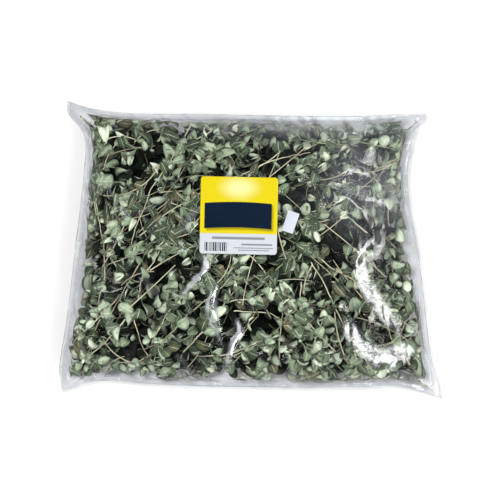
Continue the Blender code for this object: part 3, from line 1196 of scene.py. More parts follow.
@dataclass(frozen=True)
class PaperFinish:
    """Coated label paper in plain printed fields: yellow over white, with a bare navy panel that carries
    painted glints.
    """

    yellow: Colour = srgb(160, 146, 12)
    glow: Colour = srgb(172, 170, 116)
    navy: Colour = srgb(3, 15, 30)
    white: Colour = srgb(146, 150, 154)
    ink: Colour = srgb(22, 26, 34)
    shadow: Colour = srgb(60, 46, 4)
    painted_glint: Colour = srgb(70, 84, 100)
    split: float = 0.265
    glow_height: float = 0.86
    panel_bow: float = 0.1
    rule_share: float = 0.62
    specular: float = 0.3
    rules: tuple[tuple[float, float, float, float], ...] = (
        (0.16, 0.19, 0.84, 0.222),
        (0.54, 0.115, 0.94, 0.137),
        (0.44, 0.075, 0.95, 0.087),
        (0.5, 0.045, 0.9, 0.057),
    )
    bar_block: tuple[float, float, float, float] = (0.065, 0.035, 0.36, 0.15)
    bar_widths: tuple[float, ...] = (0.006, 0.006, 0.012, 0.018)
    bar_gaps: tuple[float, ...] = (0.006, 0.008, 0.013)
    bar_seed: int = 8

    def box(self, s: Shading, across: object, up: object, low: tuple, high: tuple, soft: float) -> object:
        """The share of a point inside a box on the label.

        Args:
            s: The material being built.
            across: The place across the label, from 0 to 1.
            up: The place up the label, from 0 to 1.
            low: The box's lower left corner.
            high: The box's upper right corner.
            soft: How wide the box's edge is.

        Returns:
            The socket with 1 inside and 0 outside.
        """
        inside = s.span(across, low[0] - soft, low[0] + soft)
        inside = s.times(inside, s.span(across, high[0] + soft, high[0] - soft))
        inside = s.times(inside, s.span(up, low[1] - soft, low[1] + soft))
        return s.times(inside, s.span(up, high[1] + soft, high[1] - soft))

    def bars(self, s: Shading, across: object, up: object) -> object:
        """A block of upright bars of uneven width, drawn at random.

        Args:
            s: The material being built.
            across: The place across the label, from 0 to 1.
            up: The place up the label, from 0 to 1.

        Returns:
            The socket with 1 on a bar and 0 off it.
        """
        draw = random.Random(self.bar_seed)
        left, low, right, high = self.bar_block
        block, at = None, left
        while at < right:
            wide = draw.choice(self.bar_widths)
            bar = self.box(s, across, up, (at, low), (at + wide, high), 0.001)
            block = bar if block is None else s.math("MAXIMUM", block, bar)
            at += wide + draw.choice(self.bar_gaps)
        return block

    def material(self) -> bpy.types.Material:
        """Builds the material.

        Returns:
            The material.
        """
        s = Shading("label_print")
        across, up = s.flat()
        dx = s.math("SUBTRACT", across, 0.5)
        dy = s.math("SUBTRACT", up, self.glow_height)
        squashed = s.times(s.times(dy, dy), 2.6)
        away = s.math("SQRT", s.math("ADD", s.times(dx, dx), squashed))
        paper = s.mix(s.span(away, 0.34, 0.02), self.yellow, self.glow)
        bow = s.times(s.times(dx, dx), self.panel_bow)
        bowed = s.math("ADD", up, bow)
        shadow = self.box(s, across, bowed, (0.085, 0.315), (0.945, 0.655), 0.022)
        paper = s.mix(s.times(shadow, 0.6), paper, self.shadow)
        panel = self.box(s, across, bowed, (0.055, 0.345), (0.925, 0.675), 0.004)
        # Painted highlight: sparse light glints on the navy panel.
        speckle = s.noise(900, 4, 0.7)
        navy = s.mix(s.span(speckle, 0.63, 0.7, (0.0, 0.5)), self.navy, self.painted_glint)
        paper = s.mix(panel, paper, navy)
        lower = s.span(up, self.split + 0.002, self.split - 0.002)
        paper = s.mix(lower, paper, self.white)
        drawn = [self.box(s, across, up, rule[:2], rule[2:], 0.003) for rule in self.rules]
        rules = drawn[0]
        for rule in drawn[1:]:
            rules = s.math("MAXIMUM", rules, rule)
        paper = s.mix(s.times(rules, self.rule_share), paper, self.ink)
        paper = s.mix(self.bars(s, across, up), paper, self.ink)
        grain = s.noise(2400, 3)
        paper = s.mix(s.span(grain, 0.35, 0.75, (0.0, 0.16)), paper, (0.0, 0.0, 0.0))
        rough = s.span(grain, 0.3, 0.7, (0.32, 0.42))
        return s.paint(paper, rough, s.bump(grain, 0.05 * MM, 0.5), self.specular)


@dataclass(frozen=True)
class StickerFinish:
    """Plain white sticker paper with a faint fibre."""

    white: Colour = srgb(146, 151, 158)
    grey: Colour = srgb(128, 134, 144)
    specular: float = 0.5

    def material(self) -> bpy.types.Material:
        """Builds the material.

        Returns:
            The material.
        """
        s = Shading("sticker_paper")
        fibre = s.noise(1600, 4, 0.7)
        colour = s.mix(s.span(fibre, 0.4, 0.8, (0.0, 0.6)), self.white, self.grey)
        return s.paint(colour, 0.55, s.bump(fibre, 0.06 * MM, 0.6), self.specular)


@dataclass(frozen=True)
class FloorFinish:
    """A plain pale studio floor."""

    pale: Colour = (0.44, 0.44, 0.44)
    patch: Colour = (0.435, 0.435, 0.435)

    def material(self) -> bpy.types.Material:
        """Builds the material.

        Returns:
            The material.
        """
        s = Shading("studio_floor")
        soft = s.noise(3.0, 2)
        colour = s.mix(s.span(soft, 0.3, 0.7, (0.0, 1.0)), self.pale, self.patch)
        return s.finish(s.add("BsdfPrincipled", {"Base Color": colour, "Roughness": 0.9}))


@dataclass(frozen=True)
class PaintedHazeVeil:
    """One soft patch of painted reflection haze on the film: its strength, and its middle and reach in
    millimetres.
    """

    strength: float
    x: float
    y: float
    wide: float
    high: float

    def at(self, x: Array, y: Array) -> Array:
        """How much painted reflection haze it puts on points.

        Args:
            x: Places across, in metres.
            y: Places up, in metres.

        Returns:
            The milkiness there.
        """
        across, up = (x - self.x * MM) / (self.wide * MM), (y - self.y * MM) / (self.high * MM)
        return self.strength * np.exp(-(across**2) - up**2)


@dataclass
class FilmEnvelope:
    """The clear film: one closed thin skin, front and back, joined along the sealed rim."""

    surfaces: PouchSurfaces
    columns: int = 212
    rows: int = 168
    least_wall: float = 0.2 * MM
    even_share: float = 0.7
    least_dull: float = 0.002
    most_dull: float = 0.8
    strip_painted_highlight: float = 0.3
    seal_dull: float = 0.04
    seal_streak: float = 0.2
    rim_dull: float = 0.08
    painted_haze_veils: tuple[PaintedHazeVeil, ...] = (PaintedHazeVeil(0.36, 116, 66, 46, 44), PaintedHazeVeil(0.6, 76, 124, 86, 12))

    def spread(self, count: int) -> Array:
        """Shares from -1 to 1 that lie closer together towards the ends, where the film bends.

        Args:
            count: How many steps there are.

        Returns:
            The shares.
        """
        even = np.linspace(-1, 1, count + 1)
        return self.even_share * even + (1 - self.even_share) * np.sin(even * math.pi / 2)

    def dullness(self, x: Array, y: Array, u: Array, v: Array) -> Array:
        """How milky the film is: a little everywhere, more in its seal, and more in its veils and strips,
        which are painted reflection haze and painted highlight bands.

        Args:
            x: Places across, in metres.
            y: Places up, in metres.
            u: The same places as shares across.
            v: The same places as shares up.

        Returns:
            The milkiness there, from 0 to 1.
        """
        haze = np.full(x.shape, self.least_dull)
        # Painted reflection: soft milky haze over the upper right and along the top.
        for veil in self.painted_haze_veils:
            haze += veil.at(x, y)
        # Painted highlight: the shiny strips are also made milky white, so they show as bright bands.
        haze += self.strip_painted_highlight * self.surfaces.wrinkles.strips(x, y)
        streak = 0.5 + 0.5 * Ripple(61).at(x + 0.6 * y, y - 0.6 * x, 6 * MM, 4.0)
        outward = np.maximum(np.abs(u), np.abs(v))
        seal = smoothstep(0.94, 0.975, outward) * (self.seal_dull + self.seal_streak * streak**2)
        rim = self.rim_dull * smoothstep(0.985, 0.995, outward)
        return np.clip(haze * (0.35 + 0.65 * streak) + seal + rim, 0, self.most_dull)

    def build(self, finish: bpy.types.Material) -> bpy.types.Object:
        """Builds the skin.

        Args:
            finish: The film's material.

        Returns:
            The piece that stands for both film solids.
        """
        u, v = np.meshgrid(self.spread(self.columns), self.spread(self.rows))
        x, y = self.surfaces.form.place(u.ravel(), v.ravel())
        u, v = u.ravel(), v.ravel()
        wide, high = self.columns + 1, self.rows + 1
        front = self.surfaces.front.at(x, y)
        back = np.minimum(self.surfaces.back.at(x, y), front - self.least_wall)
        number = np.arange(wide * high).reshape(high, wide)
        rim = np.zeros((high, wide), bool)
        rim[0], rim[-1], rim[:, 0], rim[:, -1] = True, True, True, True
        rim = rim.ravel()
        front[rim] = (front[rim] + back[rim]) / 2
        inner = np.flatnonzero(~rim)
        below = np.arange(wide * high)
        below[inner] = wide * high + np.arange(len(inner))
        below = below.reshape(high, wide)
        upper, lower = np.stack((x, y, front), 1), np.stack((x, y, back), 1)[inner]
        faces = np.concatenate((quads(number), quads(below.T)))
        mesh = new_mesh("pouch_film", np.concatenate((upper, lower)), faces.tolist())
        for name, values in (
            ("dull", self.dullness(x, y, u, v)),
            ("shine", self.surfaces.wrinkles.shine(x, y)),
        ):
            set_values(mesh, name, np.concatenate((values, values[inner])))
        made = add_object("clear_film", mesh, [finish])
        stand_for(made, "film", "film_front", "film_back")
        return made


@dataclass
class PaperPatch:
    """A piece of paper stuck to the front film, with round corners and a real thickness."""

    name: str
    node: str
    slot: str
    width: float
    height: float
    middle: tuple[float, float]
    turn: float
    corner: float
    surfaces: PouchSurfaces
    cells: int = 40
    lift: float = 0.25 * MM
    paper: float = 0.2 * MM
    cockle: float = 0.25 * MM
    corner_steps: int = 5

    def rounded(self, s: Array, t: Array) -> tuple[Array, Array]:
        """Places on the flat paper, with the corners rounded.

        Args:
            s: Shares across, from -1 to 1.
            t: Shares up, from -1 to 1.

        Returns:
            The places across and up, from the paper's middle.
        """
        x, y = s * self.width / 2, t * self.height / 2
        a = np.clip((np.abs(x) - self.width / 2 + self.corner) / self.corner, 0, 1)
        b = np.clip((np.abs(y) - self.height / 2 + self.corner) / self.corner, 0, 1)
        both = (a > 0) & (b > 0)
        pulled_x = (self.width / 2 - self.corner) + self.corner * a * np.sqrt(1 - b**2 / 2)
        pulled_y = (self.height / 2 - self.corner) + self.corner * b * np.sqrt(1 - a**2 / 2)
        return np.where(both, np.sign(x) * pulled_x, x), np.where(both, np.sign(y) * pulled_y, y)

    def shares(self, length: float) -> Array:
        """Even shares from -1 to 1, with a few more inside each round corner.

        Args:
            length: The paper's length along them.

        Returns:
            The shares.
        """
        even = np.linspace(-1, 1, self.cells + 1)
        edge = 1 - self.corner / (length / 2)
        extra = np.linspace(edge, 1, self.corner_steps)
        return np.unique(np.round(np.concatenate((even[np.abs(even) < edge], extra, -extra)), 6))

    def build(self, finish: bpy.types.Material) -> bpy.types.Object:
        """Builds the paper.

        Args:
            finish: Its material.

        Returns:
            The piece that stands for the paper's solid.
        """
        across, up = self.shares(self.width), self.shares(self.height)
        s, t = np.meshgrid(across, up)
        flat_x, flat_y = self.rounded(s.ravel(), t.ravel())
        x = self.middle[0] + flat_x * math.cos(self.turn) - flat_y * math.sin(self.turn)
        y = self.middle[1] + flat_x * math.sin(self.turn) + flat_y * math.cos(self.turn)
        z = self.surfaces.front.at(x, y) + self.lift
        z = z + self.cockle * np.maximum(0, Ripple(71).at(x, y, 16 * MM))
        points = np.concatenate((np.stack((x, y, z + self.paper), 1), np.stack((x, y, z), 1)))
        mesh = new_mesh(self.name, points, slab_faces(len(across), len(up)))
        places = np.stack((flat_x / self.width + 0.5, flat_y / self.height + 0.5), 1)
        set_flat_map(mesh, np.tile(places, (2, 1)))
        made = add_object(self.name, mesh, [finish])
        stand_for(made, self.slot, self.node)
        return made


@dataclass(frozen=True)
class LeafBlade:
    """One unit-long leaf blade, thin and closed, that the sprigs repeat."""

    name: str
    width: float
    widest: float = 0.45
    cup: float = 0.25
    curl: float = 0.1
    wave: float = 0.0
    stations: tuple[float, ...] = (0.0, 0.1, 0.24, 0.42, 0.61, 0.79, 0.93, 1.0)
    lanes: tuple[float, ...] = (-1.0, -0.5, 0.0, 0.5, 1.0)
    thickness: float = 0.022
    stalk: float = 0.1
    stalk_half: float = 0.022
    fullness: float = 0.72

    def half_width(self, t: float) -> float:
        """Half the blade's width, with a short stalk at its foot.

        Args:
            t: The share of its length.

        Returns:
            Half the width there.
        """
        power = self.widest / (1 - self.widest)
        body = max(0.0, (t - self.stalk) / (1 - self.stalk))
        shape = body**power * (1 - body) ** 0.8
        tallest = self.widest**power * (1 - self.widest) ** 0.8
        blade = self.width / 2 * (shape / tallest) ** self.fullness
        return max(blade, self.stalk_half * (1 - t) + 0.001)

    def mesh(self) -> bpy.types.Mesh:
        """Builds the blade along +X, its upper face towards +Z.

        Returns:
            The blade, whose points hold "side": 0 above, 1 below and between them at the rim.
        """
        points, places, sides = [], [], []
        top, low = {}, {}
        for i, t in enumerate(self.stations):
            half = self.half_width(t)
            for j, lane in enumerate(self.lanes):
                y = lane * half
                z = self.cup * y * y / max(self.width / 2, 0.01) * 1.6 + self.cup * 0.35 * abs(y)
                z -= self.curl * (t - 0.25) ** 2 * 1.6
                z += self.wave * math.sin(t * 11 + lane * 2) * abs(lane) * half
                thick = self.thickness * (1 - abs(lane) ** 2) * (0.5 + 0.5 * (1 - t))
                edge = abs(lane) == 1.0 or t in (0.0, 1.0)
                for face, store in ((0, top), (1, low)):
                    if face and edge:
                        store[i, j] = top[i, j]
                        continue
                    store[i, j] = len(points)
                    lifted = z if edge else z + thick * (0.5 - face)
                    points.append((t, y, lifted))
                    places.append(((lane + 1) / 2, t))
                    sides.append(0.5 if edge else float(face))
        faces = []
        for i in range(len(self.stations) - 1):
            for j in range(len(self.lanes) - 1):
                faces.append((top[i, j], top[i + 1, j], top[i + 1, j + 1], top[i, j + 1]))
                faces.append((low[i, j], low[i, j + 1], low[i + 1, j + 1], low[i + 1, j]))
        mesh = new_mesh(self.name, np.array(points), faces)
        set_flat_map(mesh, np.array(places))
        set_values(mesh, "side", sides)
        return mesh


class SprigTree:
    """The geometry nodes that grow sprigs: blades stood on roots, and stems run along lines."""

    def __init__(self) -> None:
        """Builds the tree with its named inputs."""
        self.tree = bpy.data.node_groups.new("leafy_stems", "GeometryNodeTree")
        face = self.tree.interface
        face.new_socket("Geometry", in_out="OUTPUT", socket_type="NodeSocketGeometry")
        face.new_socket("Geometry", in_out="INPUT", socket_type="NodeSocketGeometry")
        self.sockets = {
            name: face.new_socket(name, in_out="INPUT", socket_type=kind).identifier
            for name, kind in (
                ("Blades", "NodeSocketCollection"),
                ("Mat", "NodeSocketObject"),
                ("Blade Scale", "NodeSocketFloat"),
                ("Tilt Spread", "NodeSocketFloat"),
                ("Stem Sides", "NodeSocketInt"),
                ("Seed", "NodeSocketInt"),
                ("Leaf Finish", "NodeSocketMaterial"),
                ("Stem Finish", "NodeSocketMaterial"),
            )
        }
        self.given = self.add("NodeGroupInput")
        self.blades_and_stems()

    def add(self, kind: str, inputs: dict | None = None, **settings: object) -> bpy.types.Node:
        """Adds a node.

        Args:
            kind: The node's type.
            inputs: What goes into its sockets, by name or number: a value or another node's socket.
            **settings: The node's own settings.

        Returns:
            The node.
        """
        node = self.tree.nodes.new(kind)
        for name, value in settings.items():
            setattr(node, name, value)
        for key, value in (inputs or {}).items():
            if isinstance(value, bpy.types.NodeSocket):
                self.tree.links.new(value, node.inputs[key])
            else:
                node.inputs[key].default_value = value
        return node

    def named(self, name: str, kind: str = "FLOAT") -> bpy.types.NodeSocket:
        """A value that the plan's points hold."""
        return self.add("GeometryNodeInputNamedAttribute", {"Name": name}, data_type=kind).outputs[0]

    def blades_and_stems(self) -> None:
        """Lays out the nodes: blades on the roots, tubes along the lines, and the mat between."""
        given = self.given.outputs
        is_root = self.add("FunctionNodeCompare", {0: self.named("root"), 1: 0.5}, operation="GREATER_THAN")
        parted = self.add(
            "GeometryNodeSeparateGeometry", {"Geometry": given["Geometry"], "Selection": is_root.outputs[0]}
        )
        blades = self.add(
            "GeometryNodeCollectionInfo",
            {"Collection": given["Blades"], "Separate Children": True, "Reset Children": True},
        )
        spread = given["Tilt Spread"]
        least = self.add("ShaderNodeMath", {0: spread, 1: -1.0}, operation="MULTIPLY").outputs[0]
        lows = self.add("ShaderNodeCombineXYZ", {0: least, 1: least, 2: least}).outputs[0]
        highs = self.add("ShaderNodeCombineXYZ", {0: spread, 1: spread, 2: spread}).outputs[0]
        jitter = self.add(
            "FunctionNodeRandomValue", {0: lows, 1: highs, "Seed": given["Seed"]}, data_type="FLOAT_VECTOR"
        )
        turned = {0: self.named("turn", "FLOAT_VECTOR"), 1: jitter.outputs[0]}
        turn = self.add("ShaderNodeVectorMath", turned, operation="ADD")
        rotation = self.add("FunctionNodeEulerToRotation", {0: turn.outputs[0]})
        scaled = {0: self.named("length"), 1: given["Blade Scale"]}
        size = self.add("ShaderNodeMath", scaled, operation="MULTIPLY")
        stood = self.add(
            "GeometryNodeInstanceOnPoints",
            {
                "Points": parted.outputs["Selection"],
                "Instance": blades.outputs[0],
                "Pick Instance": True,
                "Instance Index": self.named("kind", "INT"),
                "Rotation": rotation.outputs[0],
                "Scale": size.outputs[0],
            },
        )
        leafed = self.add("GeometryNodeRealizeInstances", {"Geometry": stood.outputs[0]})
        leafed = self.add(
            "GeometryNodeSetMaterial", {"Geometry": leafed.outputs[0], "Material": given["Leaf Finish"]}
        )
        lines = self.add("GeometryNodeMeshToCurve", {"Mesh": parted.outputs["Inverted"]})
        round_profile = {"Resolution": given["Stem Sides"], "Radius": 1.0}
        ring = self.add("GeometryNodeCurvePrimitiveCircle", round_profile)
        tubes = self.add(
            "GeometryNodeCurveToMesh",
            {
                "Curve": lines.outputs[0],
                "Profile Curve": ring.outputs[0],
                "Scale": self.named("radius"),
                "Fill Caps": True,
            },
        )
        stems = self.add(
            "GeometryNodeSetMaterial", {"Geometry": tubes.outputs[0], "Material": given["Stem Finish"]}
        )
        mat = self.add("GeometryNodeObjectInfo", {"Object": given["Mat"]})
        joined = self.add("GeometryNodeJoinGeometry")
        for part in (leafed.outputs[0], stems.outputs[0], mat.outputs["Geometry"]):
            self.tree.links.new(part, joined.inputs[0])
        whole = self.add("GeometryNodeRealizeInstances", {"Geometry": joined.outputs[0]})
        result = self.add("NodeGroupOutput")
        self.tree.links.new(whole.outputs[0], result.inputs[0])

    def grow(self, plan: bpy.types.Object, values: dict[str, object]) -> bpy.types.Mesh:
        """Grows the sprigs of a plan.

        Args:
            plan: The object that holds the roots and the stems' lines.
            values: What each named input is set to.

        Returns:
            The grown mesh.
        """
        modifier = plan.modifiers.new("grow", "NODES")
        modifier.node_group = self.tree
        for name, value in values.items():
            modifier[self.sockets[name]] = value
        graph = bpy.context.evaluated_depsgraph_get()
        mesh = bpy.data.meshes.new_from_object(plan.evaluated_get(graph))
        plan.modifiers.clear()
        return mesh


@dataclass
class SprigPlan:
    """The roots of the leaves and the lines of the stems of one bundle of sprigs."""

    points: list = field(default_factory=list)
    edges: list = field(default_factory=list)
    root: list = field(default_factory=list)
    turn: list = field(default_factory=list)
    length: list = field(default_factory=list)
    kind: list = field(default_factory=list)
    tone: list = field(default_factory=list)
    radius: list = field(default_factory=list)

    def leaf(self, at: tuple, turn: tuple, length: float, kind: int, tone: float) -> None:
        """Adds a leaf's root.

        Args:
            at: Where its foot is.
            turn: Its roll, pitch and yaw.
            length: Its length.
            kind: The number of its blade.
            tone: How pale it is, from 0 to 1.
        """
        self.points.append(at)
        self.root.append(1.0)
        self.turn.append(turn)
        self.length.append(length)
        self.kind.append(kind)
        self.tone.append(tone)
        self.radius.append(0.0)

    def stem(self, line: list, radii: list, tone: float) -> None:
        """Adds a stem's line.

        Args:
            line: Its points.
            radii: Its radius at each of them.
            tone: How pale it is, from 0 to 1.
        """
        first = len(self.points)
        self.points.extend(line)
        count = len(line)
        self.edges.extend((first + i, first + i + 1) for i in range(count - 1))
        self.root.extend([0.0] * count)
        self.turn.extend([(0.0, 0.0, 0.0)] * count)
        self.length.extend([0.0] * count)
        self.kind.extend([0] * count)
        self.tone.extend([tone] * count)
        self.radius.extend(radii)

    def as_object(self, name: str) -> bpy.types.Object:
        """The plan as an object that the tree can read.

        Args:
            name: The object's name.

        Returns:
            The object.
        """
        mesh = bpy.data.meshes.new(name)
        mesh.from_pydata(self.points, self.edges, [])
        for word in PLAN_VALUES:
            set_values(mesh, word, getattr(self, word), PLAN_KINDS.get(word, "FLOAT"))
        return add_object(name, mesh, [])


@dataclass
class SprigBundle:
    """The leafy stems of one patch of the pouch, which stand for one sprig solid.

    Sizes are (least, most) in millimetres, spreads in degrees, and tones from 0, dark, to 1, pale.
    """

    side: Side
    node: str
    surfaces: PouchSurfaces
    seed: int
    stems: int
    loose: int
    runners: tuple[Pairs, ...] = ()
    lie_spread: float = 26.0
    stem_length: tuple[float, float] = (48, 96)
    stem_thick: tuple[float, float] = (0.5, 0.9)
    leaf_size: tuple[float, float] = (12.5, 18.5)
    large_leaf_size: tuple[float, float] = (15, 23)
    young_size: tuple[float, float] = (4.5, 9.5)
    loose_size: tuple[float, float] = (10, 14)
    loose_depth: tuple[float, float] = (2.5, 10)
    young_count: tuple[int, int] = (4, 7)
    missing: float = 0.12
    upside_down: float = 0.16
    flat_spread: tuple[float, float] = (46, 84)
    raised_spread: tuple[float, float] = (8, 34)
    pair_gap: float = 12.5
    pair_gap_closing: float = 6.5
    tone: float = 0.43
    young_tone: float = 0.58
    tone_spread: float = 0.28
    tone_upper_right: float = 0.1
    tone_by_size: float = 0.022
    paling_size: float = 13.0
    surface_stems: int = 3
    stem_points: int = 13
    mat_columns: int = 15
    mat_reach: float = 0.84
    mat_depth: float = 15 * MM
    painted_shade_depth: float = 5.2 * MM
    tilt_spread: float = 0.12
    stem_sides: int = 6

    def __post_init__(self) -> None:
        """Reads the patch's room from the solid."""
        self.low, self.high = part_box(self.node)
        self.draw = random.Random(self.seed)
        self.film = self.surfaces.roof if self.side is Side.FRONT else self.surfaces.back

    def anywhere(self) -> tuple[float, float]:
        """A random place in the patch."""
        return self.draw.uniform(self.low.x, self.high.x), self.draw.uniform(self.low.y, self.high.y)

    def heading(self, x: float, y: float) -> float:
        """The way that a stem lies, which leans to what most stems there do.

        Args:
            x: The place across.
            y: The place up.

        Returns:
            The direction, in radians.
        """
        if x > 0.03 and y < 0.03:
            base = -48
        elif x > 0.03:
            base = 22
        else:
            base = 40
        leaning = math.radians(base + self.draw.gauss(0, self.lie_spread))
        return leaning + self.draw.choice((0, math.pi))

    def at_depth(self, x: float, y: float, depth: float) -> float:
        """A height inside the film that the bundle faces.

        Args:
            x: The place across.
            y: The place up.
            depth: How far inside the film it is.

        Returns:
            The height.
        """
        return float(self.film.at(np.array([x]), np.array([y]))[0]) - self.side.value * depth

    def leaf_kind(self, x: float, y: float, young: bool) -> int:
        """The blade that suits a place: rounder at the lower right, narrower at the upper left.

        Args:
            x: The place across.
            y: The place up.
            young: Whether the leaf is one of the small ones at a tip.

        Returns:
            The blade's number.
        """
        if young:
            return self.draw.choice((4, 4, 0, 5))
        if x > 0 or y < -0.03:
            return self.draw.choice((1, 2, 2, 1, 3, 0, 6))
        return self.draw.choice((0, 4, 3, 4, 5, 4, 3))

    def blade(
        self, plan: SprigPlan, at: tuple, yaw: float, pitch: float, length: float, young: bool = False
    ) -> None:
        """Adds one leaf.

        Args:
            plan: The plan that takes it.
            at: Where its foot is.
            yaw: The way that it points.
            pitch: How far its tip dips, in radians.
            length: Its length.
            young: Whether it is one of the small leaves at a tip.
        """
        draw = self.draw
        roll = draw.gauss(0, 0.5) + (math.pi if draw.random() < self.upside_down else 0)
        if self.side is Side.BACK:
            roll += math.pi
            pitch = -pitch
        likely = self.young_tone if young else self.tone
        if at[0] > 0.04 and at[1] > 0.02:
            likely += self.tone_upper_right
        likely -= self.tone_by_size * max(0.0, length / MM - self.paling_size)
        tone = min(max(draw.gauss(likely, self.tone_spread), 0.0), 1.0)
        plan.leaf(at, (roll, pitch, yaw), length, self.leaf_kind(at[0], at[1], young), tone)

    def leafy_stem(self, plan: SprigPlan, depth: float) -> None:
        """Adds one stem with its pairs of leaves and its tip.

        Args:
            plan: The plan that takes it.
            depth: How far it lies inside the film.
        """
        draw = self.draw
        x, y = self.anywhere()
        heading = self.heading(x, y)
        length = draw.uniform(*self.stem_length) * MM
        bend = draw.gauss(0, 0.5)
        count = self.stem_points
        step = length / (count - 1)
        x -= math.cos(heading) * length / 2
        y -= math.sin(heading) * length / 2
        line, headings = [], []
        sink = draw.uniform(0, 4) * MM
        for i in range(count):
            t = i / (count - 1)
            here = heading + bend * (t - 0.5) + draw.gauss(0, 0.07)
            dip = depth + sink * abs(2 * t - 1) ** 2 + draw.gauss(0, 0.25) * MM
            line.append((x, y, self.at_depth(x, y, dip)))
            headings.append(here)
            x += math.cos(here) * step
            y += math.sin(here) * step
        thick = draw.uniform(*self.stem_thick) * MM
        plan.stem(line, [thick * (1 - 0.6 * i / (count - 1)) for i in range(count)], draw.random())
        travelled = draw.uniform(3, 10) * MM
        sizes = self.large_leaf_size if x < 0 and y > -0.03 else self.leaf_size
        largest = draw.uniform(*sizes) * MM
        flat = draw.random() < 0.5
        while travelled < length:
            t = travelled / length
            index = min(int(t * (count - 1)), count - 2)
            share = t * (count - 1) - index
            foot = tuple(a + (b - a) * share for a, b in zip(line[index], line[index + 1]))
            size = largest * (1.05 - 0.55 * t**1.6) * draw.uniform(0.72, 1.12)
            for hand in (1, -1):
                if draw.random() < self.missing:
                    continue
                spread = draw.uniform(*(self.flat_spread if flat else self.raised_spread))
                yaw = headings[index] + hand * math.radians(spread)
                pitch = draw.gauss(-0.06, 0.22) if flat else draw.gauss(-0.25, 0.4)
                self.blade(plan, foot, yaw, pitch, size)
            flat = not flat
            travelled += (self.pair_gap - self.pair_gap_closing * t) * draw.uniform(0.75, 1.2) * MM
        for _ in range(draw.randint(*self.young_count)):
            yaw = headings[-1] + draw.uniform(-1.2, 1.2)
            pitch, size = draw.gauss(-0.3, 0.35), draw.uniform(*self.young_size) * MM
            self.blade(plan, line[-1], yaw, pitch, size, True)

    def surface_stem(self, plan: SprigPlan) -> None:
        """Adds one short bare stem near the film.

        Args:
            plan: The plan that takes it.
        """
        draw = self.draw
        x, y = self.anywhere()
        heading, length = self.heading(x, y), draw.uniform(30, 84) * MM
        depth, bend, line = draw.uniform(0.2, 3) * MM, draw.gauss(0, 0.6), []
        for i in range(9):
            line.append((x, y, self.at_depth(x, y, depth)))
            x += math.cos(heading + bend * i / 8) * length / 8
            y += math.sin(heading + bend * i / 8) * length / 8
        thick = draw.uniform(0.35, 0.65) * MM
        plan.stem(line, [thick * (1 - 0.03 * i) for i in range(9)], draw.uniform(0.5, 1.0))

    def plan(self) -> SprigPlan:
        """Plans every stem and loose leaf of the bundle.

        Returns:
            The plan.
        """
        plan = SprigPlan()
        draw = self.draw
        for i in range(self.stems):
            self.leafy_stem(plan, (0.8 + 11.0 * (i / self.stems) ** 1.2) * MM)
        for _ in range(self.loose):
            x, y = self.anywhere()
            depth = draw.uniform(*self.loose_depth) * MM
            foot = (x, y, self.at_depth(x, y, depth))
            size = draw.uniform(*self.loose_size) * MM + 0.3 * depth
            self.blade(plan, foot, draw.uniform(0, 2 * math.pi), draw.gauss(0, 0.3), size)
        for _ in range(self.surface_stems):
            self.surface_stem(plan)
        for runner in self.runners:
            self.runner(plan, np.array(runner) * MM)
        return plan

    def runner(self, plan: SprigPlan, line: Array) -> None:
        """Adds one long bare stem that lies right under the film.

        Args:
            plan: The plan that takes it.
            line: The points that it runs through, across and up, one a row.
        """
        draw = self.draw
        steps = np.hypot(*np.diff(line, axis=0).T)
        along = np.concatenate(((0,), np.cumsum(steps)))
        at = np.linspace(0, along[-1], max(8, int(along[-1] / (5 * MM))))
        xs, ys = np.interp(at, along, line[:, 0]), np.interp(at, along, line[:, 1])
        points = []
        for i, (x, y) in enumerate(zip(xs, ys)):
            x, y = x + draw.gauss(0, 0.35) * MM, y + draw.gauss(0, 0.35) * MM
            sunk = (0.6 + 1.3 * abs(math.sin(i * 0.55 + line[0, 0] / MM))) * MM
            points.append((x, y, self.at_depth(x, y, sunk)))
        thick = draw.uniform(0.42, 0.64) * MM
        radii = [thick * (1 - 0.35 * i / len(points)) for i in range(len(points))]
        plan.stem(points, radii, draw.uniform(0.75, 1.0))

    def mat(self, finish: bpy.types.Material) -> bpy.types.Object:
        """The dark matted middle of the bundle, well inside its leaves.

        Args:
            finish: Its material.

        Returns:
            The mat as an object that the tree can read.
        """
        form, count = self.surfaces.form, self.mat_columns
        xs = np.linspace(self.low.x, self.high.x, count)
        ys = np.linspace(self.low.y, self.high.y, count)
        x, y = (grid.ravel() for grid in np.meshgrid(xs, ys))
        reached = [np.clip(share, -self.mat_reach, self.mat_reach) for share in form.shares(x, y)]
        x, y = form.place(*reached)
        u, v = form.shares(x, y)
        inner = form.middle(u, v) + self.side.value * 0.2 * MM
        room = np.abs(self.film.at(x, y) - inner)
        bumpy = 3.2 * MM * Ripple(81).at(x, y, 7 * MM) + 2.2 * MM * Ripple(83).at(x, y, 17 * MM)
        rise = room - np.minimum(self.mat_depth, 0.6 * room) + np.minimum(1, room / (20 * MM)) * bumpy
        outer = inner + self.side.value * np.maximum(rise, 0.2 * MM)
        points = np.concatenate((np.stack((x, y, outer), 1), np.stack((x, y, inner), 1)))
        faces = slab_faces(count, count)
        if self.side is Side.BACK:
            faces = [face[::-1] for face in faces]
        return add_object("mat", new_mesh("mat", points, faces), [finish])

    def inward(self, points: Array) -> Array:
        """How deep points lie inside the film, which sets the painted shade that darkens leaves and stems
        with depth.

        Args:
            points: The points, one a row.

        Returns:
            Their depth, from 0 to 1, which counts for less near the seams.
        """
        x, y, z = points.T
        film = self.film.at(x, y)
        u, v = self.surfaces.form.shares(x, y)
        thin = smoothstep(0.82, 0.93, np.maximum(np.abs(u), np.abs(v)))
        return np.clip(np.abs(film - z) / self.painted_shade_depth, 0, 1) * (1 - 0.6 * thin)

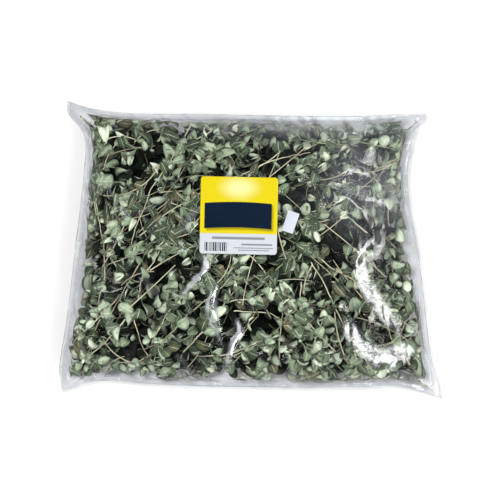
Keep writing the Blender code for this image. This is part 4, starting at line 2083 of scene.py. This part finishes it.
    def build(self, tree: SprigTree, blades: bpy.types.Collection, finishes: dict) -> bpy.types.Object:
        """Builds the bundle.

        Args:
            tree: The nodes that grow it.
            blades: The leaf blades that it repeats.
            finishes: Its materials, by name.

        Returns:
            The piece that stands for the sprig's solid.
        """
        guide = self.plan().as_object("plan")
        mat = self.mat(finishes["mat"])
        values = {
            "Blades": blades,
            "Mat": mat,
            "Blade Scale": 1.0,
            "Tilt Spread": self.tilt_spread,
            "Stem Sides": self.stem_sides,
            "Seed": self.seed,
            "Leaf Finish": finishes["leaf"],
            "Stem Finish": finishes["stem"],
        }
        mesh = tree.grow(guide, values)
        bpy.data.objects.remove(guide)
        bpy.data.objects.remove(mat)
        for name in PLAN_VALUES:
            if name != "tone" and name in mesh.attributes:
                mesh.attributes.remove(mesh.attributes[name])
        points = np.zeros(len(mesh.vertices) * 3, np.float32)
        mesh.vertices.foreach_get("co", points)
        settled = self.surfaces.settle(points.reshape(-1, 3).astype(float))
        mesh.vertices.foreach_set("co", settled.astype(np.float32).ravel())
        set_values(mesh, "inward", self.inward(settled))
        mesh.polygons.foreach_set("use_smooth", [True] * len(mesh.polygons))
        mesh.update()
        made = add_object(f"leafy_{self.node}", mesh, [])
        stand_for(made, "oregano_leaf", self.node)
        return made


@dataclass
class OreganoPack:
    """All the bundles of sprigs behind the front film and on the back film.

    A layer is its side and its numbers of bundles, of stems in each and of loose leaves in each. The
    runners are long bare stems, in millimetres.
    """

    surfaces: PouchSurfaces
    layers: tuple[tuple[Side, int, int, int], ...] = ((Side.FRONT, 20, 9, 56), (Side.BACK, 12, 6, 44))
    back_seed: int = 100
    runners: tuple[Pairs, ...] = (
        (
            (-38.5, 117.5), (-54.5, 109.5), (-70.5, 94.5), (-85.5, 77.5), (-98.5, 59.5), (-105.5, 39.5),
            (-112.5, 24.5), (-119.5, -0.5),
        ),
        ((-109.5, -13.5), (-124.5, -38.5), (-137.5, -62.5)),
        ((-154.5, 51.5), (-150.5, 27.5), (-145.5, 4.5), (-144.5, -25.5), (-150.5, -50.5), (-153.5, -70.5)),
        ((-74.5, 24.5), (-87.5, 6.5), (-95.5, -12.5), (-107.5, -26.5), (-111.5, -50.5)),
        ((-72.5, -48.5), (-84.5, -68.5), (-97.5, -92.5)),
        ((-140.5, -58.5), (-152.5, -75.5), (-162.5, -98.5)),
        ((-116.5, -66.5), (-105.5, -100.5), (-90.5, -119.5)),
        ((-2.5, 71.5), (11.5, 84.5), (34.5, 91.5), (59.5, 96.5)),
        ((49.5, -32.5), (48.5, -60.5), (67.5, -85.5), (101.5, -116.5)),
        ((59.5, -12.5), (74.5, -35.5), (82.5, -55.5), (94.5, -78.5), (121.5, -121.5)),
        ((65.5, -5.5), (79.5, -18.5), (100.5, -28.5)),
        ((-16.5, -60.5), (15.5, -62.5)),
        ((151.5, 91.5), (134.5, 80.5), (114.5, 75.5), (93.5, 78.5)),
        ((-4.5, -115.5), (11.5, -128.5), (39.5, -133.5)),
        ((115.5, 16.5), (101.5, 27.5), (87.5, 40.5)),
        ((-18.5, 121.5), (-10.5, 109.5), (-28.5, 91.5), (-38.5, 83.5)),
        ((-166.5, 101.5), (-158.5, 63.5), (-153.5, 35.5)),
    )
    blades: tuple[LeafBlade, ...] = (
        LeafBlade("blade_0_oval", 0.6, 0.42, 0.2, 0.15),
        LeafBlade("blade_1_oval_cupped", 0.68, 0.46, 0.38, 0.22),
        LeafBlade("blade_2_round_cupped", 0.84, 0.49, 0.34, 0.18),
        LeafBlade("blade_3_folded", 0.6, 0.44, 0.8, 0.38),
        LeafBlade("blade_4_narrow", 0.42, 0.42, 0.42, 0.55),
        LeafBlade("blade_5_wavy", 0.6, 0.42, 0.22, 0.32, 0.3),
        LeafBlade("blade_6_bent_back", 0.68, 0.47, -0.3, 0.7),
    )

    def blade_store(self) -> bpy.types.Collection:
        """Makes the blades.

        Returns:
            The collection that the tree picks from.
        """
        store = bpy.data.collections.new("blades")
        for blade in self.blades:
            store.objects.link(bpy.data.objects.new(blade.name, blade.mesh()))
        return store

    def shared_out(self) -> dict[str, list[Pairs]]:
        """Shares the long stems out to the front bundles that are nearest to their middles.

        Returns:
            Each bundle's long stems, by the name of its node.
        """
        found = {}
        names = [f"sprig_front_{number:02d}" for number in range(1, self.layers[0][1] + 1)]
        centres = {name: (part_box(name)[0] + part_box(name)[1]) / 2 for name in names}
        for line in self.runners:
            x, y = np.mean(line, axis=0) * MM
            nearest = min(names, key=lambda name: math.hypot(centres[name].x - x, centres[name].y - y))
            found.setdefault(nearest, []).append(line)
        return found

    def build(self, finishes: dict) -> list[bpy.types.Object]:
        """Builds every bundle.

        Args:
            finishes: The materials, by name.

        Returns:
            The pieces.
        """
        tree, store = SprigTree(), self.blade_store()
        shared = self.shared_out()
        pieces = []
        for side, count, stems, loose in self.layers:
            for number in range(1, count + 1):
                node = f"sprig_{side.name.lower()}_{number:02d}"
                seed = number + self.back_seed * (side is Side.BACK)
                runners = tuple(shared.get(node, ()))
                bundle = SprigBundle(side, node, self.surfaces, seed, stems, loose, runners)
                piece = bundle.build(tree, store, finishes)
                log.info("%s: %d faces", piece.name, len(piece.data.polygons))
                pieces.append(piece)
        for blade in list(store.objects):
            bpy.data.objects.remove(blade)
        bpy.data.collections.remove(store)
        return pieces


@dataclass(frozen=True)
class Softbox:
    """One soft light: its bearing from +X and height in degrees, its distance, size and watts."""

    name: str
    bearing: float
    height: float
    away: float
    size: tuple[float, float]
    power: float
    mirrored: bool = True

    def hang(self) -> None:
        """Hangs the light, turned to the pouch."""
        data = bpy.data.lights.new(self.name, "AREA")
        data.shape = "RECTANGLE"
        data.size, data.size_y = self.size
        data.energy = self.power
        made = bpy.data.objects.new(self.name, data)
        b, h = math.radians(self.bearing), math.radians(self.height)
        level = self.away * math.cos(h)
        made.location = (level * math.cos(b), level * math.sin(b), self.away * math.sin(h))
        made.rotation_mode = "QUATERNION"
        made.rotation_quaternion = (-made.location).to_track_quat("-Z", "Y")
        made.visible_glossy = self.mirrored
        bpy.context.scene.collection.objects.link(made)


@dataclass
class Studio:
    """The plain pale floor, the soft lights and the camera over the pouch."""

    distance: float = 3.0
    view_width: float = 0.5
    sensor: float = 36.0
    centre: tuple[float, float] = (-0.5 * MM, -0.5 * MM)
    seam: float = 20 * MM
    floor_reach: float = 4.0
    floor_drop: float = 0.2 * MM
    world_strength: float = 0.2
    horizon: Colour = (0.95, 0.97, 1.0)
    ceiling: Colour = (0.05, 0.052, 0.055)
    softboxes: tuple[Softbox, ...] = (
        Softbox("key_softbox", 140, 78, 3.0, (0.6, 0.5), 162, False),
        Softbox("fill_softbox", 250, 52, 2.4, (0.8, 0.8), 8, False),
        Softbox("right_softbox", -8, 42, 3.6, (3.0, 1.4), 92),
        Softbox("low_softbox", -60, 30, 3.6, (2.0, 1.4), 62),
        Softbox("left_softbox", 186, 36, 1.8, (0.3, 0.7), 3),
        Softbox("haze_softbox", 34, 55, 1.8, (0.5, 0.4), 5),
    )

    def floor(self) -> None:
        """Lays the floor."""
        far, z = self.floor_reach, -self.floor_drop
        points = np.array([(-far, -far, z), (far, -far, z), (far, far, z), (-far, far, z)])
        mesh = new_mesh("floor", points, [(0, 1, 2, 3)], False)
        add_object("studio_floor", mesh, [FloorFinish().material()])

    def camera(self) -> None:
        """Sets the camera straight over the pouch."""
        data = bpy.data.cameras.new("camera")
        data.sensor_width = self.sensor
        data.lens = self.sensor * self.distance / self.view_width
        data.clip_end = 20
        made = bpy.data.objects.new("camera", data)
        made.location = (*self.centre, self.seam + self.distance)
        bpy.context.scene.collection.objects.link(made)
        bpy.context.scene.camera = made

    def lights(self) -> None:
        """Hangs the lights and sets the even light all round."""
        world = bpy.data.worlds.new("studio")
        world.use_nodes = True
        tree = world.node_tree
        back = tree.nodes["Background"]
        ways = tree.nodes.new("ShaderNodeTexCoord")
        split = tree.nodes.new("ShaderNodeSeparateXYZ")
        ramp = tree.nodes.new("ShaderNodeValToRGB")
        tree.links.new(ways.outputs["Generated"], split.inputs[0])
        tree.links.new(split.outputs[2], ramp.inputs[0])
        tree.links.new(ramp.outputs[0], back.inputs["Color"])
        low, high = ramp.color_ramp.elements
        low.position, low.color = 0.45, (*self.horizon, 1.0)
        high.position, high.color = 0.9, (*self.ceiling, 1.0)
        back.inputs["Strength"].default_value = self.world_strength
        bpy.context.scene.world = world
        for softbox in self.softboxes:
            softbox.hang()
        bpy.context.scene.view_settings.view_transform = "Standard"


def main() -> None:
    """Builds the pouch and its studio."""
    logging.basicConfig(level=logging.INFO, format="%(name)s: %(message)s")
    form = PouchForm()
    surfaces = PouchSurfaces(form, FilmWrinkles(form))
    studio = Studio()
    studio.camera()
    studio.floor()
    studio.lights()
    film = FilmEnvelope(surfaces).build(FilmFinish().material())
    log.info("%s: %d faces", film.name, len(film.data.polygons))
    label = PaperPatch(
        name="paper_label",
        node="label",
        slot="label_paper",
        width=76.2 * MM,
        height=76.2 * MM,
        middle=(-11.5 * MM, 33.5 * MM),
        turn=math.radians(-1.2),
        corner=3 * MM,
        surfaces=surfaces,
    )
    sticker = PaperPatch(
        name="white_sticker",
        node="blank_sticker",
        slot="sticker_paper",
        width=11.5 * MM,
        height=21 * MM,
        middle=(39.5 * MM, 27 * MM),
        turn=math.radians(-19),
        corner=0.6 * MM,
        surfaces=surfaces,
        cells=12,
    )
    for patch, finish in ((label, PaperFinish()), (sticker, StickerFinish())):
        piece = patch.build(finish.material())
        log.info("%s: %d faces", piece.name, len(piece.data.polygons))
    finishes = {
        "leaf": LeafFinish().material(),
        "stem": StemFinish().material(),
        "mat": MatFinish().material(),
    }
    pieces = OreganoPack(surfaces).build(finishes)
    log.info("sprigs: %d pieces, %d faces", len(pieces), sum(len(p.data.polygons) for p in pieces))


if __name__ == "__main__":
    main()
